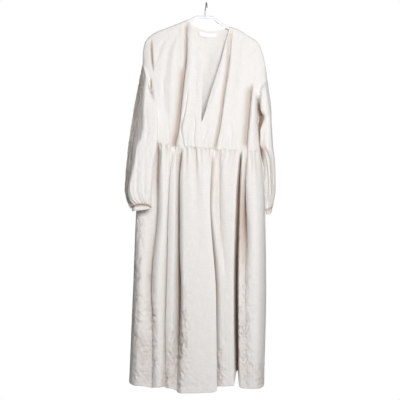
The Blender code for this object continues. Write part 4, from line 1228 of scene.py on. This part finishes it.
angles = np.linspace(0, 2 * math.pi, STEM_SIDES, endpoint=False)
points = [(STEM_X, 0, STEM_PROFILE[0][1])]
for radius, z in STEM_PROFILE[1:-1]:
    points += [(STEM_X + radius * math.cos(angle), radius * math.sin(angle), z) for angle in angles]
points.append((STEM_X, 0, STEM_TOP))
faces = tube_faces(len(STEM_PROFILE) - 2, STEM_SIDES, start=1)
last = len(points) - 1 - STEM_SIDES
for index in range(STEM_SIDES):
    after = (index + 1) % STEM_SIDES
    faces.append((0, 1 + after, 1 + index))
    faces.append((last + index, last + after, len(points) - 1))
piece = place_in_scene("hanger_stem", new_mesh("hanger_stem", points, faces, white_plastic))
declare(piece, "hanger")


# The hook
# Steel wire, bent round at the top and let into the stem, turned aside on it.
STEEL = "5E5E60"
HOOK_WIRE = 1.6
HOOK_RADIUS = 12.0
HOOK_TURN = math.radians(80)
HOOK_POINTS = 90
HOOK_FOOT_RISE = 3.5
HOOK_TAIL = 5.0


def new_curve(name, lines):
    """A curve that runs straight from point to point of its lines, which are in millimetres."""
    curve = bpy.data.curves.new(name, "CURVE")
    curve.dimensions = "3D"
    for line in lines:
        spline = curve.splines.new("POLY")
        spline.points.add(len(line) - 1)
        places = np.column_stack((line * MM, np.ones(len(line))))
        spline.points.foreach_set("co", places.astype(np.float32).ravel())
    return curve


def turn_to_mesh(guide):
    """The mesh that a curve object makes. The object itself is removed."""
    bpy.context.view_layer.update()
    mesh = bpy.data.meshes.new_from_object(guide.evaluated_get(bpy.context.evaluated_depsgraph_get()))
    bpy.data.objects.remove(guide, do_unlink=True)
    return mesh


sideways = np.array((math.cos(HOOK_TURN), math.sin(HOOK_TURN), 0.0))
centre = np.array((0.0, 0.0, HOOK_WIRE - HOOK_RADIUS))
foot = np.array((STEM_X, 0.0, STEM_TOP - 2.0))
start = centre - sideways * HOOK_RADIUS
wire = [foot, foot + (0, 0, HOOK_FOOT_RISE), foot * 0.45 + start * 0.55 + (0, 0, 1.0), start - (0, 0, 2.0)]
for turn in np.linspace(0, math.pi, 13):
    wire.append(centre + (0, 0, HOOK_RADIUS * math.sin(turn)) - sideways * HOOK_RADIUS * math.cos(turn))
wire.append(wire[-1] - (0, 0, HOOK_TAIL))
curve = new_curve("hook_wire", [along(wire, np.linspace(0, 1, HOOK_POINTS))])
curve.bevel_depth = HOOK_WIRE * MM
curve.bevel_resolution = 6
curve.use_fill_caps = True

# Drawn steel wire: grey metal with a fine grain that blurs what it mirrors
drawn_wire = grained_material("drawn_steel_wire", STEEL, 0.32, 900.0, 3.0, 0.1, 0.0001, Metallic=1.0)
curve.materials.append(drawn_wire)
mesh = turn_to_mesh(place_in_scene("hook_curve", curve))
mesh.shade_smooth()
declare(place_in_scene("hook_wire", mesh), "hook")


# The stitches
# Cream cotton thread: lines of short lock stitches along the necklines, front edge, waist, armholes, hem
# and cuffs. Each stitch is a small bar of thread that dips into the cloth at its ends.
STITCH_LENGTH = 2.7
STITCH_PITCH = 3.6
STITCH_WIDTH = 0.42
STITCH_LIFT = 0.12
THREAD = "EFEAE3"

# Distances of the stitch lines from the edges, and rows of a cuff's grid that are stitched
NECK_STITCH = 6.0
WAIST_STITCH = 3.0
ARMHOLE_STITCH = 4.0
FRONT_EDGE_STITCH = 8.0
CUFF_STITCH_ROWS = (2, 10)
NECK_STITCH_X = (-66, 85)


def stitch_tree(thread):
    """Geometry nodes that lay stitches along the curves they are given, and the sizes they are given."""
    tree = bpy.data.node_groups.new("stitches", "GeometryNodeTree")
    for way in ("INPUT", "OUTPUT"):
        tree.interface.new_socket("Geometry", in_out=way, socket_type="NodeSocketGeometry")
    sizes = {}
    for name, size in (("Pitch", STITCH_PITCH), ("Length", STITCH_LENGTH), ("Width", STITCH_WIDTH)):
        socket = tree.interface.new_socket(name, in_out="INPUT", socket_type="NodeSocketFloat")
        sizes[socket.identifier] = size * MM
    given, result, spaced, bar, tangent, turned, scale, laid, real, finish = [
        tree.nodes.new(kind) for kind in (
            "NodeGroupInput", "NodeGroupOutput", "GeometryNodeResampleCurve", "GeometryNodeMeshIcoSphere",
            "GeometryNodeInputTangent", "FunctionNodeAlignRotationToVector", "ShaderNodeCombineXYZ",
            "GeometryNodeInstanceOnPoints", "GeometryNodeRealizeInstances", "GeometryNodeSetMaterial")]
    spaced.mode = "LENGTH"
    bar.inputs["Subdivisions"].default_value = 1
    bar.inputs["Radius"].default_value = 0.5
    turned.axis = "X"
    finish.inputs["Material"].default_value = thread
    for source, output, target, socket in (
            (given, "Geometry", spaced, "Curve"), (given, "Pitch", spaced, "Length"),
            (tangent, "Tangent", turned, "Vector"), (given, "Length", scale, "X"),
            (given, "Width", scale, "Y"), (given, "Width", scale, "Z"), (spaced, "Curve", laid, "Points"),
            (bar, "Mesh", laid, "Instance"), (turned, "Rotation", laid, "Rotation"),
            (scale, "Vector", laid, "Scale"), (laid, "Instances", real, "Geometry"),
            (real, "Geometry", finish, "Geometry"), (finish, "Geometry", result, "Geometry")):
        tree.links.new(source.outputs[output], target.inputs[socket])
    return tree, sizes


def stitch_line(grid, edge, distance, part=slice(None)):
    """A line just off a grid, some millimetres in from its top, foot, first column or last column."""
    lifted = grid + grid_normals(grid) * STITCH_LIFT
    if edge in ("first", "last"):
        grid, lifted = np.swapaxes(grid, 0, 1), np.swapaxes(lifted, 0, 1)
    if edge in ("foot", "last"):
        grid, lifted = grid[::-1], lifted[::-1]
    lengths = run_of(grid)
    line = [[np.interp(distance, lengths[:, spot], lifted[:, spot, axis]) for axis in range(3)]
            for spot in range(grid.shape[1])]
    return np.array(line)[part]


def sew(name, lines):
    """One piece with the stitches of several lines."""
    guide = place_in_scene(name + "_guide", new_curve(name, [set_back(line) for line in lines]))
    sewing = guide.modifiers.new("stitches", "NODES")
    sewing.node_group = stitches
    for identifier, value in stitch_sizes.items():
        sewing[identifier] = value
    piece = place_in_scene(name, turn_to_mesh(guide))
    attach(piece, "root")


# Matt cotton thread, close to the cloth in colour, with a fine twist
cotton_thread = grained_material("cotton_thread", THREAD, 0.8, 2500.0, 1.0, 0.4, 0.0001, Sheen_Weight=0.2)
stitches, stitch_sizes = stitch_tree(cotton_thread)
right, left, behind = bodice["bodice_front_right"], bodice["bodice_front_left"], bodice["bodice_back"]
top_x = behind[0, :, 0]
neck = np.flatnonzero((top_x > NECK_STITCH_X[0]) & (top_x < NECK_STITCH_X[1]))
armhole = slice(2, 61)
sew("stitches_bodice", [
    stitch_line(right, "last", NECK_STITCH), stitch_line(left, "first", NECK_STITCH),
    stitch_line(behind, "top", NECK_STITCH, neck),
    *[stitch_line(grid, "foot", WAIST_STITCH) for grid in (right, left, behind)],
    *[stitch_line(grid, edge, ARMHOLE_STITCH, armhole)
      for grid, edge in ((right, "first"), (left, "last"), (behind, "first"), (behind, "last"))],
])
sew("stitches_skirt", [stitch_line(grid, "foot", HEM_TURN) for grid in skirt.values()]
    + [stitch_line(skirt["skirt_front_right"], "last", FRONT_EDGE_STITCH)])
sew("stitches_cuffs", [np.concatenate((grid[row], grid[row][:1]))
                       for grid in cuffs.values() for row in CUFF_STITCH_ROWS])


# The studio
# A plain white floor under the dress, a broad soft light in front of it, slightly right and above, a weaker
# one from the right side, one for the back, and an even pale surround.
WHITE = (1.0, 1.0, 1.0, 1.0)
FLOOR_GREY = "C8C8C8"
FLOOR_CORNERS = ((-6000, -4000, -1600), (6000, -4000, -1600), (6000, 6000, -1600), (-6000, 6000, -1600))
SURROUND_STRENGTH = 0.078

scene = bpy.context.scene
scene.view_settings.view_transform = "Standard"
scene.view_settings.look = "None"


def white_to_camera(owner, shader, kind, end):
    """Shows the camera plain white in place of a shader, which still lights what stands round it."""
    white = add_node(owner, kind, {"Color": WHITE})
    seen = add_node(owner, "ShaderNodeLightPath").outputs["Is Camera Ray"]
    mixed = add_node(owner, "ShaderNodeMixShader", {"Fac": seen, 1: shader.outputs[0], 2: white.outputs[0]})
    owner.node_tree.links.new(mixed.outputs[0], owner.node_tree.nodes[end].inputs["Surface"])


def soft_light(name, place, aim, size, power):
    """A square softbox aimed at a point, in metres and watts."""
    data = bpy.data.lights.new(name, "AREA")
    data.size = size
    data.energy = power
    lamp = place_in_scene(name, data)
    lamp.location = place
    lamp.rotation_euler = (Vector(aim) - Vector(place)).to_track_quat("-Z", "Y").to_euler()


world = bpy.data.worlds.new("surround")
world.use_nodes = True
scene.world = world
surround = world.node_tree.nodes["Background"]
surround.inputs["Color"].default_value = WHITE
surround.inputs["Strength"].default_value = SURROUND_STRENGTH
white_to_camera(world, surround, "ShaderNodeBackground", "World Output")

floor_white = bpy.data.materials.new("backdrop_white")
floor_white.use_nodes = True
floor_white.node_tree.nodes.remove(floor_white.node_tree.nodes["Principled BSDF"])
pale = add_node(floor_white, "ShaderNodeBsdfDiffuse", {"Color": linear(FLOOR_GREY)})
white_to_camera(floor_white, pale, "ShaderNodeEmission", "Material Output")
floor = place_in_scene("floor", new_mesh("floor", FLOOR_CORNERS, [(0, 1, 2, 3)], floor_white))

soft_light("key", place=(0.34, -2.5, 0.16), aim=(0.0, 0.0, -0.58), size=1.0, power=58.0)
soft_light("side", place=(2.4, -1.8, 0.3), aim=(0.0, 0.0, -0.5), size=1.2, power=9.0)
soft_light("behind", place=(0.4, 3.2, 0.3), aim=(0.0, 0.0, -0.7), size=1.8, power=84.0)
